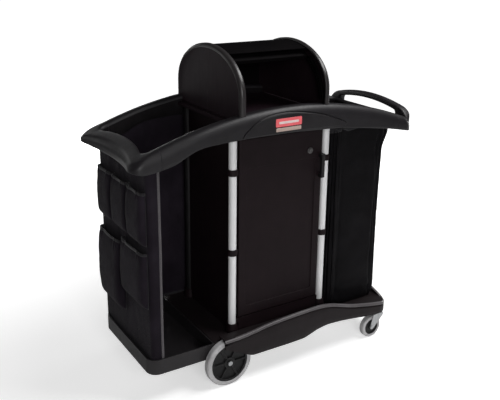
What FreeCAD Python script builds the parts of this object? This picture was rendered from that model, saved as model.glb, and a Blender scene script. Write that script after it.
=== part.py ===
import FreeCAD, Part
import math
import os

# Housekeeping cart, millimetres, +Z up, front (door side) towards -Y, linen bay towards -X.
# Everything is drawn from the cabinet's centre line; save() moves it into the frame,
# whose origin is on the floor under the middle of the cart's length and width.

os.makedirs("parts", exist_ok=True)
V = FreeCAD.Vector

# ---- driving dimensions -------------------------------------------------------------
CABINET_X = 22.0            # cabinet's centre line, from the middle of the cart's length
HALF_WIDTH = 279.5          # half of the cart's width, over the skirts

# rim: the moulded frame round the top
RIM_LEFT = -672.0
RIM_RIGHT = 628.0
RIM_FACE_Y = 274.0          # outer faces of the long rails
RIM_INNER_Y = 215.0         # inner faces of the long rails
RIM_CROWN_Z = 1122.0        # top of the arched rails at the middle
RIM_END_Z = 1010.0          # top of the rails at RIM_ARCH_X from the middle
RIM_ARCH_X = 600.0
RIM_WALL = 5.0
RIM_END_DIP = 32.0          # how far the left end curves in between its corners
RIM_SEAM_LEFT = -560.0
RIM_SEAM_RIGHT = 540.0

# cabinet
POST_X = 221.5
POST_Y = 185.0
POST_R = 16.0
POST_WALL = 2.0
PANEL_T = 8.0
DECK_Z = 190.0              # top of the deck under the cabinet
CEILING_Z = 1066.0          # underside of the hood floor, top of the posts
HOOD_FLOOR_Z = 1080.0

# door
DOOR_HALF = 198.0
DOOR_FRONT_Y = -197.0
DOOR_BACK_Y = -177.0
DOOR_LOW_Z = 250.0
DOOR_HIGH_Z = 1000.0
COLLAR_Z = (541.0, 873.0)   # hinge collars on the left post, strike collars on the right
COLLAR_H = 26.0
COLLAR_R = 21.0
LOCK_X = 137.0
LOCK_Z = 914.0
LOCK_R = 9.0

# hood
HOOD_X = -26.0              # middle of the hood, over the middle of the rim
HOOD_HALF = 206.5           # half length of the hood, over its ends
HOOD_A = 258.0              # half depth of the hood's ends
HOOD_B = 172.0              # rise of the hood above its spring line
HOOD_SPRING_Z = 1172.0
HOOD_BAND = 7.0             # the ends' rim stands this far proud of the roof
ROOF_T = 6.0
ROOF_FRONT_Y = -115.0
SHUTTER_Z = 1086.0          # the shutter's pivot line, along X
SHUTTER_R = 235.0
SHUTTER_T = 6.0
SHUTTER_FRONT_DEG = 29.5    # from the vertical towards the front, at rest
SHUTTER_BACK_DEG = -25.0

# base
SKIRT_LEFT = -306.0
SKIRT_RIGHT = 562.0
SKIRT_T = 6.0
SKIRT_CORNER = 60.0
DECK_LEFT = -330.0
DECK_T = 12.0
BAG_DECK_Z = 165.0          # top of the lower deck under the bag
BAG_DECK_X = 240.0
TRAY_LEFT = -612.0
TRAY_Y = 236.0
TRAY_LOW_Z = 122.0
TRAY_HIGH_Z = 187.0
TRAY_WALL = 6.0

# running gear
WHEEL_X = -281.0
WHEEL_R = 101.6             # 8 inch wheels
WHEEL_HUB_R = 82.0
WHEEL_OUT_Y = 271.5
WHEEL_W = 31.5
AXLE_R = 8.0
AXLE_CAP_R = 10.0
CASTER_X = 505.0
CASTER_Y = 257.0
CASTER_TRAIL = 35.0
CASTER_R = 50.8             # 4 inch casters
CASTER_HUB_R = 37.0
CASTER_PAD_Z = 128.0
CASTER_AXLE_R = 5.0
FIT = 0.08                  # radial clearance of a running fit
GAP = 0.5

# soft goods
ORGANISER_X = -600.0        # outer face of the fabric wall at the left end
FABRIC_T = 8.0
ORGANISER_Y = 228.0
BAG_X = (250.0, 542.0)
BAG_Y = 204.0
BAG_Z = (166.0, 1000.0)
BAG_T = 3.0


# ---- helpers ---------------------------------------------------------------------
def save(name, shape):
    placed = shape.copy()
    placed.translate(V(CABINET_X, 0, 0))
    placed.exportStep("parts/" + name + ".step")
    solids = len(placed.Solids)
    print("%-22s solids %2d  valid %s  volume %9.0f" % (name, solids, placed.isValid(), placed.Volume))


def box(x0, x1, y0, y1, z0, z1):
    return Part.makeBox(x1 - x0, y1 - y0, z1 - z0, V(x0, y0, z0))


def rod_y(x, y0, y1, z, radius):
    return Part.makeCylinder(radius, y1 - y0, V(x, y0, z), V(0, 1, 0))


def rod_z(x, y, z0, z1, radius):
    return Part.makeCylinder(radius, z1 - z0, V(x, y, z0), V(0, 0, 1))


def ring_z(x, y, z0, z1, outer, inner):
    return rod_z(x, y, z0, z1, outer).cut(rod_z(x, y, z0, z1, inner))


def mirror_y(shape):
    return shape.mirror(V(0, 0, 0), V(0, 1, 0))


def mirror_x(shape):
    return shape.mirror(V(0, 0, 0), V(1, 0, 0))


def line(start, end):
    return Part.makeLine(start, end)


def arc(start, middle, end):
    return Part.Arc(start, middle, end).toShape()


def smooth(points):
    curve = Part.BSplineCurve()
    curve.interpolate(points)
    return curve.toShape()


def prism(edges, push):
    """The solid swept by the closed outline of these edges along the vector push."""
    return Part.Face(Part.Wire(edges)).extrude(push)


def polygon_prism(points, push):
    return Part.Face(Part.makePolygon(points + points[:1])).extrude(push)


def plan(x0, x1, half_y, radius0, radius1, z0, z1):
    """A block with rounded corners: radius0 at x0, radius1 at x1."""
    block = box(x0, x1, -half_y, half_y, z0, z1)
    uprights = [e for e in block.Edges if abs(e.tangentAt(e.FirstParameter).z) > 0.9]
    left = [e for e in uprights if e.CenterOfMass.x < (x0 + x1) / 2]
    right = [e for e in uprights if e.CenterOfMass.x > (x0 + x1) / 2]
    rounded = block.makeFillet(radius0, left)
    match = [e for e in rounded.Edges for r in right if (e.CenterOfMass - r.CenterOfMass).Length < 0.01]
    return rounded.makeFillet(radius1, match)


def fillet_where(shape, radius, test):
    chosen = [e for e in shape.Edges if test(e)]
    return shape.makeFillet(radius, chosen)


# ---- rim --------------------------------------------------------------------------
def rim_arch_radius():
    drop = RIM_CROWN_Z - RIM_END_Z
    return (RIM_ARCH_X ** 2 + drop ** 2) / (2 * drop)


def rim_top_z(x):
    radius = rim_arch_radius()
    return RIM_CROWN_Z - radius + math.sqrt(radius ** 2 - x ** 2)


def rim_side_view(y0, y1):
    """The rim's outline seen from the front, as a block from y0 to y1."""
    left_x = RIM_LEFT + 22
    right_x = RIM_RIGHT - 56
    left_top = V(left_x, y0, rim_top_z(left_x))
    right_top = V(right_x, y0, rim_top_z(right_x))
    right_nose = V(RIM_RIGHT, y0, 985)
    right_low = V(RIM_RIGHT, y0, 950)
    left_nose = V(RIM_LEFT, y0, 970)
    left_toe = V(left_x, y0, 944)
    lower = [(-600, 948), (-555, 956), (-505, 966), (-451, 996), (-405, 1013), (-330, 1020), (-200, 1024),
             (0, 1024), (240, 1013), (484, 979)]
    edges = [
        arc(left_top, V(0, y0, RIM_CROWN_Z), right_top),
        arc(right_top, V(RIM_RIGHT - 24, y0, 1007), right_nose),
        line(right_nose, right_low),
        smooth([right_low] + [V(x, y0, z) for x, z in reversed(lower)] + [left_toe]),
        arc(left_toe, V(RIM_LEFT + 5, y0, 953), left_nose),
        arc(left_nose, V(RIM_LEFT + 6, y0, 983), left_top),
    ]
    return prism(edges, V(0, y1 - y0, 0))


def dip(reach, x_middle, x_reach, shift):
    """A tall cylinder whose edge runs through x_middle at y = 0 and x_reach at y = reach."""
    sag = x_middle - x_reach
    radius = (reach ** 2 + sag ** 2) / (2 * sag)
    return rod_z(x_middle - radius, 0, 850, 1200, radius + shift)


def rim_ring(shrink):
    """The rim's plan as a tall ring; shrink makes its walls thinner from both sides."""
    face_y = RIM_FACE_Y - shrink
    outer = plan(RIM_LEFT + shrink, RIM_RIGHT - shrink, face_y, 40 - shrink, 45 - shrink, 850, 1200)
    outer = outer.cut(dip(230, RIM_LEFT + RIM_END_DIP, RIM_LEFT, shrink))
    inner = plan(-600 - shrink, 572 + shrink, RIM_INNER_Y + shrink, 30 + shrink, 35 + shrink, 850, 1200)
    inner = inner.cut(dip(180, -572, -600, -shrink))
    return outer.cut(inner)


def rim_solid():
    return rim_side_view(-300, 300).common(rim_ring(0))


def rim_core():
    """The hollow inside the rim, open below."""
    core = rim_side_view(-300, 300)
    core.translate(V(0, 0, -RIM_WALL))
    return core.common(rim_ring(RIM_WALL))


def push_handle_arch():
    """The arched grip over the right end of the rim, on a block at each corner."""
    crown_z = 1073.0
    shoulder_y = 205.0
    shoulder_z = 1049.0
    foot_y = RIM_FACE_Y - 3
    foot_z = 965.0
    depth = 24.0
    window_y = 188.0
    x0 = RIM_RIGHT - 37
    x1 = RIM_RIGHT - 1
    sag = crown_z - shoulder_z
    radius = (shoulder_y ** 2 + sag ** 2) / (2 * sag)
    # a corner arc leaves the crown's arc without a kink and ends upright at the foot
    start = math.asin(shoulder_y / radius)
    corner_r = (foot_y - shoulder_y) / (1 - math.sin(start))
    middle = (start + math.pi / 2) / 2
    corner_y = foot_y - corner_r + corner_r * math.sin(middle)
    corner_z = shoulder_z - corner_r * (math.cos(start) - math.cos(middle))
    upright_z = shoulder_z - corner_r * math.cos(start)
    edges = [
        arc(V(x0, -shoulder_y, shoulder_z), V(x0, 0, crown_z), V(x0, shoulder_y, shoulder_z)),
        arc(V(x0, shoulder_y, shoulder_z), V(x0, corner_y, corner_z), V(x0, foot_y, upright_z)),
        line(V(x0, foot_y, upright_z), V(x0, foot_y, foot_z - 10)),
        line(V(x0, foot_y, foot_z - 10), V(x0, -foot_y, foot_z - 10)),
        line(V(x0, -foot_y, foot_z - 10), V(x0, -foot_y, upright_z)),
        arc(V(x0, -foot_y, upright_z), V(x0, -corner_y, corner_z), V(x0, -shoulder_y, shoulder_z)),
    ]
    grip = prism(edges, V(x1 - x0, 0, 0))
    window = Part.makeCylinder(radius - depth, x1 - x0, V(x0, 0, crown_z - radius), V(1, 0, 0))
    window = window.common(box(x0, x1, -window_y, window_y, foot_z - 20, crown_z))
    window = fillet_where(window, 16.0, lambda e: abs(e.tangentAt(e.FirstParameter).x) > 0.9
                          and e.CenterOfMass.z > foot_z)
    grip = grip.cut(window)
    grip = fillet_where(grip, 9.0, lambda e: e.Length > 300 and e.CenterOfMass.z > foot_z)
    return grip.common(plan(x0 - 30, x1, RIM_FACE_Y - 4, 2, 44, foot_z, 1200))


def make_rim():
    core = rim_core()
    shell = rim_solid().cut(core)
    front = shell.common(box(RIM_SEAM_LEFT, RIM_SEAM_RIGHT, -300, 0, 800, 1200))
    left = shell.common(box(RIM_LEFT - 10, RIM_SEAM_LEFT, -300, 300, 800, 1200))
    right = shell.common(box(RIM_SEAM_RIGHT, RIM_RIGHT + 10, -300, 300, 800, 1200))
    right = right.fuse(push_handle_arch().cut(core)).removeSplitter()
    save("rim_front_rail", front)
    save("rim_back_rail", mirror_y(front))
    save("rim_left_end", left)
    save("rim_right_end", right)


def make_fascias():
    """The raised name panels on the outer faces of the long rails."""
    depth = 2.0
    crown = [(-222, 1039), (-204, 1055), (-174, 1076), (-118, 1094), (-51, 1101), (19, 1098), (115, 1082),
             (180, 1062), (244, 1036)]
    face_y = -RIM_FACE_Y
    start = V(-230, face_y, 1027)
    end = V(256, face_y, 1022)
    edges = [
        smooth([start] + [V(x, face_y, z) for x, z in crown] + [end]),
        arc(end, V(20, face_y, 1029), start),
    ]
    panel = prism(edges, V(0, -depth, 0))
    save("rim_front_fascia", panel)
    save("rim_back_fascia", mirror_y(panel))
    badge_y = face_y - depth
    badge = box(-88, 31, badge_y - 1.0, badge_y, 1053, 1085)
    badge = fillet_where(badge, 4.0, lambda e: abs(e.tangentAt(e.FirstParameter).y) > 0.9)
    save("badge_plate", badge)


# ---- hood -------------------------------------------------------------------------
def hood_arch(x0, x1, a, b, low_z):
    """The half-ellipse arch with straight sides down to low_z, as a block from x0 to x1."""
    centre = V(x0, 0, HOOD_SPRING_Z)
    ellipse = Part.Ellipse(V(x0, a, HOOD_SPRING_Z), V(x0, 0, HOOD_SPRING_Z + b), centre)
    crown = Part.Arc(ellipse, 0, math.pi).toShape()
    back = V(x0, a, HOOD_SPRING_Z)
    front = V(x0, -a, HOOD_SPRING_Z)
    edges = [
        crown,
        line(front, V(x0, -a, low_z)),
        line(V(x0, -a, low_z), V(x0, a, low_z)),
        line(V(x0, a, low_z), back),
    ]
    return prism(edges, V(x1 - x0, 0, 0))


def above_rim(shape):
    """Leave out what would stand in the rim, with a small gap over it."""
    solid = rim_solid()
    rails = solid.fuse([solid.translated(V(0, 0, GAP))])
    return shape.cut(rails).cut(box(-700, 700, -400, 400, 0, HOOD_FLOOR_Z))


def sector(x0, x1, r0, r1, deg0, deg1):
    """A curved bar along X, from deg0 to deg1 off the vertical towards the front."""
    def at(r, deg):
        angle = math.radians(deg)
        return V(x0, -r * math.sin(angle), SHUTTER_Z + r * math.cos(angle))

    middle = (deg0 + deg1) / 2
    edges = [
        arc(at(r1, deg0), at(r1, middle), at(r1, deg1)),
        line(at(r1, deg1), at(r0, deg1)),
        arc(at(r0, deg1), at(r0, middle), at(r0, deg0)),
        line(at(r0, deg0), at(r1, deg0)),
    ]
    return prism(edges, V(x1 - x0, 0, 0))


def over_rim(shape):
    """Move a hood piece to its place and keep its largest solid clear of the rim."""
    placed = above_rim(shape.translated(V(HOOD_X, 0, 0)))
    return max(placed.Solids, key=lambda s: s.Volume)


def make_hood():
    plate_x = HOOD_HALF - 10
    floor = box(-250, 250, -RIM_INNER_Y, RIM_INNER_Y, CEILING_Z, HOOD_FLOOR_Z)
    tray = box(HOOD_X - plate_x + 6, HOOD_X + plate_x - 6, -205, 205, HOOD_FLOOR_Z, HOOD_FLOOR_Z + 2)
    tray = fillet_where(tray, 20.0, lambda e: abs(e.tangentAt(e.FirstParameter).z) > 0.9)
    save("hood_floor", floor.fuse(tray).removeSplitter())

    plate = hood_arch(plate_x, plate_x + 7, HOOD_A - 3, HOOD_B - 3, HOOD_FLOOR_Z)
    band = hood_arch(HOOD_HALF - 24, HOOD_HALF, HOOD_A, HOOD_B, HOOD_FLOOR_Z)
    band = band.cut(hood_arch(HOOD_HALF - 30, HOOD_HALF + 4, HOOD_A - HOOD_BAND, HOOD_B - HOOD_BAND,
                              HOOD_FLOOR_Z - 10))
    end = plate.fuse(band).removeSplitter()
    save("hood_right_end", over_rim(end))
    save("hood_left_end", over_rim(mirror_x(end)))

    outer_a = HOOD_A - HOOD_BAND - 0.1
    outer_b = HOOD_B - HOOD_BAND - 0.1
    roof_x = plate_x - 0.1
    roof = hood_arch(-roof_x, roof_x, outer_a, outer_b, HOOD_FLOOR_Z)
    roof = roof.cut(hood_arch(-roof_x - 5, roof_x + 5, outer_a - ROOF_T, outer_b - ROOF_T, HOOD_FLOOR_Z - 10))
    roof = roof.common(box(-300, 300, ROOF_FRONT_Y, 300, HOOD_FLOOR_Z, 1400))
    save("hood_roof", over_rim(roof))

    inner_r = SHUTTER_R - SHUTTER_T
    tracks = []
    for x0, x1 in ((plate_x - 13, plate_x), (-plate_x, 13 - plate_x)):
        tracks.append(sector(x0, x1, inner_r - 8, inner_r - GAP, SHUTTER_BACK_DEG - 3, 79.5))
        tracks.append(sector(x0, x1, SHUTTER_R + GAP, SHUTTER_R + 5, SHUTTER_FRONT_DEG + 4, 79.5))
    save("hood_tracks", Part.makeCompound([over_rim(t) for t in tracks]))

    slat_pitch = 4.95
    slats = 11
    shutter_x = plate_x - 5
    shell = sector(-shutter_x, shutter_x, inner_r, SHUTTER_R - 2, SHUTTER_BACK_DEG, SHUTTER_FRONT_DEG)
    for index in range(slats):
        low = SHUTTER_BACK_DEG + index * slat_pitch
        shell = shell.fuse(sector(-shutter_x, shutter_x, SHUTTER_R - 2.5, SHUTTER_R, low, low + 4.3))
    save("hood_shutter", over_rim(shell.removeSplitter()))
    bar_x = plate_x - 16
    bar = sector(-bar_x, bar_x, SHUTTER_R - 13, SHUTTER_R + 5, SHUTTER_FRONT_DEG, SHUTTER_FRONT_DEG + 3)
    bar = fillet_where(bar, 2.5, lambda e: e.Length > 300)
    save("shutter_bar", over_rim(bar))


# ---- cabinet ----------------------------------------------------------------------
def make_cabinet():
    names = {(-1, -1): "front_left_post", (1, -1): "front_right_post",
             (-1, 1): "back_left_post", (1, 1): "back_right_post"}
    sockets = []
    socket_top = 226.0
    for side_x, side_y in names:
        x = side_x * POST_X
        y = side_y * POST_Y
        save(names[side_x, side_y], ring_z(x, y, DECK_Z, CEILING_Z, POST_R, POST_R - POST_WALL))
        foot = Part.makeCone(27, 21, socket_top - DECK_Z, V(x, y, DECK_Z), V(0, 0, 1))
        sockets.append(foot.cut(rod_z(x, y, DECK_Z - 1, socket_top + 1, POST_R + 0.1)))
    panel_end = POST_Y - POST_R - GAP
    keep_out = box(-POST_X - PANEL_T / 2, POST_X + PANEL_T / 2, -panel_end, panel_end, DECK_Z, socket_top + 4)
    sockets = [s.cut(keep_out) for s in sockets]

    side_x0 = POST_X - PANEL_T / 2
    side_x1 = POST_X + PANEL_T / 2
    right = box(side_x0, side_x1, -panel_end, panel_end, DECK_Z, CEILING_Z)
    right = fillet_where(right, 2.0, lambda e: abs(e.tangentAt(e.FirstParameter).z) > 0.9)
    collar_room = COLLAR_R + 2
    for z in COLLAR_Z:
        low = z - COLLAR_H / 2 - 2
        high = z + COLLAR_H / 2 + 2
        right = right.cut(box(side_x0 - 1, side_x1 + 1, -POST_Y, -POST_Y + collar_room, low, high))
    save("cabinet_right_side", right)
    save("cabinet_left_side", mirror_x(right))

    back_x = POST_X - POST_R - GAP
    back = box(-back_x, back_x, POST_Y - PANEL_T / 2, POST_Y + PANEL_T / 2, DECK_Z, CEILING_Z)
    sill = box(-back_x, back_x, -195, -177, DECK_Z, 246)
    header = box(-back_x, back_x, -193, -177, DOOR_HIGH_Z + 4, CEILING_Z)
    clear = Part.makeCompound([rod_z(sx * POST_X, sy * POST_Y, DECK_Z - 1, socket_top + 0.2, 27.1)
                               for sx, sy in names])
    save("cabinet_back", back.cut(clear))
    save("door_surround", Part.makeCompound([sill.cut(clear), header]))
    save("post_sockets", Part.makeCompound(sockets))

    pins = []
    shelf_names = {465.0: "lower_shelf", 735.0: "upper_shelf"}
    for shelf_z in shelf_names:
        shelf = box(-216, 216, -148, 168, shelf_z, shelf_z + 10)
        lip = box(-216, 216, -148, -142, shelf_z + 10, shelf_z + 24)
        shelf = fillet_where(shelf.fuse(lip).removeSplitter(), 2.5, lambda e: e.Length > 400)
        save(shelf_names[shelf_z], shelf)
        for side in (-1, 1):
            for y in (-120.0, 140.0):
                pin = Part.makeCylinder(4, 14, V(side * side_x0, y, shelf_z - 4), V(-side, 0, 0))
                pins.append(pin)
    save("shelf_pins", Part.makeCompound(pins))


# ---- door -------------------------------------------------------------------------
def make_door():
    panel = box(-DOOR_HALF, DOOR_HALF, DOOR_FRONT_Y, DOOR_BACK_Y, DOOR_LOW_Z, DOOR_HIGH_Z)
    panel = fillet_where(panel, 3.0, lambda e: e.CenterOfMass.y < DOOR_FRONT_Y + 1)
    recess = box(-165, 165, DOOR_FRONT_Y - 1, DOOR_FRONT_Y + 4, 292, 882)
    recess = fillet_where(recess, 14.0, lambda e: abs(e.tangentAt(e.FirstParameter).y) > 0.9)
    recess = fillet_where(recess, 2.5, lambda e: abs(e.CenterOfMass.y - DOOR_FRONT_Y - 4) < 0.1)
    back_pan = box(-180, 180, DOOR_BACK_Y - 9, DOOR_BACK_Y + 1, 270, 880)
    panel = panel.cut(recess).cut(back_pan)
    panel = panel.cut(rod_y(LOCK_X, -230, -150, LOCK_Z, LOCK_R + FIT))
    save("door_panel", panel)

    hinges = []
    strikes = []
    for z in COLLAR_Z:
        low = z - COLLAR_H / 2
        high = z + COLLAR_H / 2
        tab = box(-POST_X, -DOOR_HALF, -POST_Y - 7, -POST_Y + 7, low + 3, high - 3)
        body = fillet_where(rod_z(-POST_X, -POST_Y, low, high, COLLAR_R), 3.0, lambda e: e.Length > 100)
        hinges.append(body.fuse(tab).cut(rod_z(-POST_X, -POST_Y, low - 1, high + 1, POST_R + FIT)))
        strike = rod_z(POST_X, -POST_Y, low, high, COLLAR_R - 0.8)
        strike = fillet_where(strike, 3.0, lambda e: e.Length > 100)
        strikes.append(strike.cut(rod_z(POST_X, -POST_Y, low - 1, high + 1, POST_R + 0.1)))
    save("door_hinge_collars", Part.makeCompound(hinges))
    save("strike_collars", Part.makeCompound(strikes))

    pull_x0 = 181.0
    pull_x1 = 197.0
    grip = box(pull_x0, pull_x1, -223, -211, 796, 897)
    feet = [box(pull_x0, pull_x1, -212, DOOR_FRONT_Y, z0, z0 + 16) for z0 in (796.0, 881.0)]
    pull = grip.fuse(feet).removeSplitter()
    pull = fillet_where(pull, 3.5, lambda e: e.CenterOfMass.y < -222)
    save("door_pull", pull)

    plate = Part.makeCylinder(13, 3, V(LOCK_X, DOOR_FRONT_Y, LOCK_Z), V(0, -1, 0))
    plate = fillet_where(plate, 1.5, lambda e: abs(e.CenterOfMass.y - DOOR_FRONT_Y + 3) < 0.1)
    save("lock_escutcheon", plate.cut(rod_y(LOCK_X, -230, -150, LOCK_Z, LOCK_R + 0.3)))
    barrel = rod_y(LOCK_X, -205, -160, LOCK_Z, LOCK_R)
    barrel = fillet_where(barrel, 1.5, lambda e: abs(e.CenterOfMass.y + 205) < 0.1)
    keyway = box(LOCK_X - 1.2, LOCK_X + 1.2, -206, -195, LOCK_Z - 5, LOCK_Z + 5)
    save("lock_cylinder", barrel.cut(keyway))
    cam = box(LOCK_X - 7, LOCK_X + 7, -160, -157, LOCK_Z - 70, LOCK_Z + 9)
    cam = fillet_where(cam, 5.0, lambda e: abs(e.tangentAt(e.FirstParameter).y) > 0.9)
    save("lock_cam", cam)
    side_x0 = POST_X - PANEL_T / 2
    strike = box(196, side_x0, -166, -163, LOCK_Z - 15, LOCK_Z + 15)
    flange = box(side_x0 - 3, side_x0, -163, -138, LOCK_Z - 15, LOCK_Z + 15)
    save("lock_strike", strike.fuse(flange).removeSplitter())


# ---- base -------------------------------------------------------------------------
def skirt_side_view(y0, y1):
    top = [(-306, 209), (-237, 210), (-165, 219), (-93, 230), (0, 237), (90, 241), (163, 242), (225, 235),
           (339, 199), (444, 178), (SKIRT_RIGHT, 160)]
    low = [(SKIRT_RIGHT, 114), (441, 117), (364, 128), (284, 137), (206, 141), (150, 132), (85, 110),
           (0, 108)]
    edges = [
        smooth([V(x, y0, z) for x, z in top]),
        line(V(SKIRT_RIGHT, y0, 160), V(SKIRT_RIGHT, y0, 114)),
        smooth([V(x, y0, z) for x, z in low]),
        line(V(0, y0, 108), V(-178, y0, 108)),
        line(V(-178, y0, 108), V(SKIRT_LEFT, y0, 172)),
        line(V(SKIRT_LEFT, y0, 172), V(SKIRT_LEFT, y0, 209)),
    ]
    return prism(edges, V(0, y1 - y0, 0))


def inside_skirt(margin):
    """The room inside the skirt, kept this margin away from it."""
    wall = SKIRT_T + margin
    return plan(SKIRT_LEFT - 90, SKIRT_RIGHT - wall, HALF_WIDTH - wall, 1, SKIRT_CORNER - wall, 50, 300)


def make_base():
    outer = plan(SKIRT_LEFT, SKIRT_RIGHT, HALF_WIDTH, 1, SKIRT_CORNER, 50, 300)
    inner = inside_skirt(0.0)
    end_x = SKIRT_RIGHT - SKIRT_CORNER - 2
    end_lip = prism([
        arc(V(end_x, -262, 152), V(end_x, 0, 207), V(end_x, 262, 152)),
        line(V(end_x, 262, 152), V(end_x, 262, 114)),
        line(V(end_x, 262, 114), V(end_x, -262, 114)),
        line(V(end_x, -262, 114), V(end_x, -262, 152)),
    ], V(SKIRT_CORNER + 2, 0, 0))
    skirt = skirt_side_view(-300, 300).fuse(end_lip).common(outer.cut(inner)).removeSplitter()
    save("base_skirt", skirt)

    well_y = WHEEL_OUT_Y - WHEEL_W - 8
    well_x0 = SKIRT_LEFT
    well_x1 = -172.0
    deck = box(DECK_LEFT, BAG_DECK_X, -400, 400, DECK_Z - DECK_T, DECK_Z)
    deck = deck.fuse(box(BAG_DECK_X - 10, SKIRT_RIGHT, -400, 400, BAG_DECK_Z - DECK_T, BAG_DECK_Z))
    deck = deck.fuse(box(BAG_DECK_X - 10, BAG_DECK_X, -400, 400, BAG_DECK_Z - DECK_T, DECK_Z))
    deck = deck.common(inner)
    for side in (-1, 1):
        y_lo, y_hi = sorted((side * well_y, side * 400))
        deck = deck.cut(box(-400, well_x1, y_lo, y_hi, 0, 400))
        wall_lo, wall_hi = sorted((side * well_y, side * (well_y - 5)))
        top_lo, top_hi = sorted((side * (well_y - 5), side * (HALF_WIDTH - SKIRT_T)))
        fender = box(well_x0, well_x1 + 5, top_lo, top_hi, 206, 210)
        inner_wall = box(well_x0, well_x1 + 5, wall_lo, wall_hi, DECK_Z - DECK_T, 206)
        end_wall = box(well_x1, well_x1 + 5, top_lo, top_hi, DECK_Z - DECK_T, 206)
        deck = deck.fuse([fender, inner_wall, end_wall])
    ribs = []
    rib_low = 134.0
    for y in (-190.0, -95.0, 0.0, 95.0, 190.0):
        ribs.append(box(-250, 430, y - 2, y + 2, rib_low, BAG_DECK_Z - DECK_T))
        ribs.append(box(-250, BAG_DECK_X, y - 2, y + 2, rib_low, DECK_Z - DECK_T))
    for x in (-148.0, -45.0, 55.0, 150.0, 237.0, 335.0, 428.0):
        high = DECK_Z - DECK_T if x < BAG_DECK_X else BAG_DECK_Z - DECK_T
        ribs.append(box(x - 2, x + 2, -260, 260, rib_low, high))
    pad = box(455, 547, CASTER_Y - 40, CASTER_Y + 20, CASTER_PAD_Z, BAG_DECK_Z - DECK_T).common(inner)
    pads = [pad, mirror_y(pad)]
    deck = deck.fuse(ribs + pads).cut(skirt).removeSplitter()
    save("base_deck", deck)

    tray = plan(TRAY_LEFT, DECK_LEFT, TRAY_Y, 45, 2, TRAY_LOW_Z, TRAY_HIGH_Z)
    hollow = plan(TRAY_LEFT + TRAY_WALL, DECK_LEFT - TRAY_WALL, TRAY_Y - TRAY_WALL, 39, 2,
                  TRAY_LOW_Z + 8, TRAY_HIGH_Z + 10)
    tray = tray.cut(hollow)
    tray = fillet_where(tray, 5.0, lambda e: abs(e.CenterOfMass.z - TRAY_LOW_Z) < 0.1)
    save("linen_tray", tray)


# ---- running gear ---------------------------------------------------------------------
def make_wheels():
    blocks = []
    for side in (-1, 1):
        lo, hi = sorted((side * 195, side * 222))
        block = box(WHEEL_X - 22, WHEEL_X + 22, lo, hi, 84, DECK_Z - DECK_T)
        block = fillet_where(block, 14.0, lambda e: abs(e.tangentAt(e.FirstParameter).y) > 0.9
                             and e.CenterOfMass.z < 100)
        blocks.append(block.cut(rod_y(WHEEL_X, -300, 300, WHEEL_R, AXLE_R + 0.1)))
    save("axle_blocks", Part.makeCompound(blocks))
    axle = rod_y(WHEEL_X, -277.5, 277.5, WHEEL_R, AXLE_R)
    for side in (-1, 1):
        lo, hi = sorted((side * (WHEEL_OUT_Y + 1), side * 277.5))
        axle = axle.fuse(rod_y(WHEEL_X, lo, hi, WHEEL_R, AXLE_CAP_R))
    save("wheel_axle", axle.removeSplitter())

    y0 = -WHEEL_OUT_Y
    y1 = -WHEEL_OUT_Y + WHEEL_W
    tyre = rod_y(WHEEL_X, y0, y1, WHEEL_R, WHEEL_R)
    tyre = fillet_where(tyre, 8.0, lambda e: e.Length > 600)
    tyre = tyre.cut(rod_y(WHEEL_X, y0 - 1, y1 + 1, WHEEL_R, WHEEL_HUB_R))
    hub = rod_y(WHEEL_X, y0 + 1.5, y1 - 1.5, WHEEL_R, WHEEL_HUB_R)
    dish_depth = 9.0
    for low, high in ((y0, y0 + dish_depth), (y1 - dish_depth, y1)):
        dish = rod_y(WHEEL_X, low, high, WHEEL_R, WHEEL_HUB_R - 9)
        hub = hub.cut(dish.cut(rod_y(WHEEL_X, low, high, WHEEL_R, 24)))
    for index in range(6):
        for low, high in ((y0 + 3, y0 + dish_depth + 1), (y1 - dish_depth - 1, y1 - 3)):
            spoke = Part.makeBox(56, high - low, 7, V(WHEEL_X + 20, low, WHEEL_R - 3.5))
            spoke.rotate(V(WHEEL_X, 0, WHEEL_R), V(0, 1, 0), 60 * index)
            hub = hub.fuse(spoke)
    hub = hub.cut(rod_y(WHEEL_X, y0 - 1, y1 + 1, WHEEL_R, AXLE_R + FIT)).removeSplitter()
    save("front_wheel_tyre", tyre)
    save("front_wheel_hub", hub)
    save("back_wheel_tyre", mirror_y(tyre))
    save("back_wheel_hub", mirror_y(hub))


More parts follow.
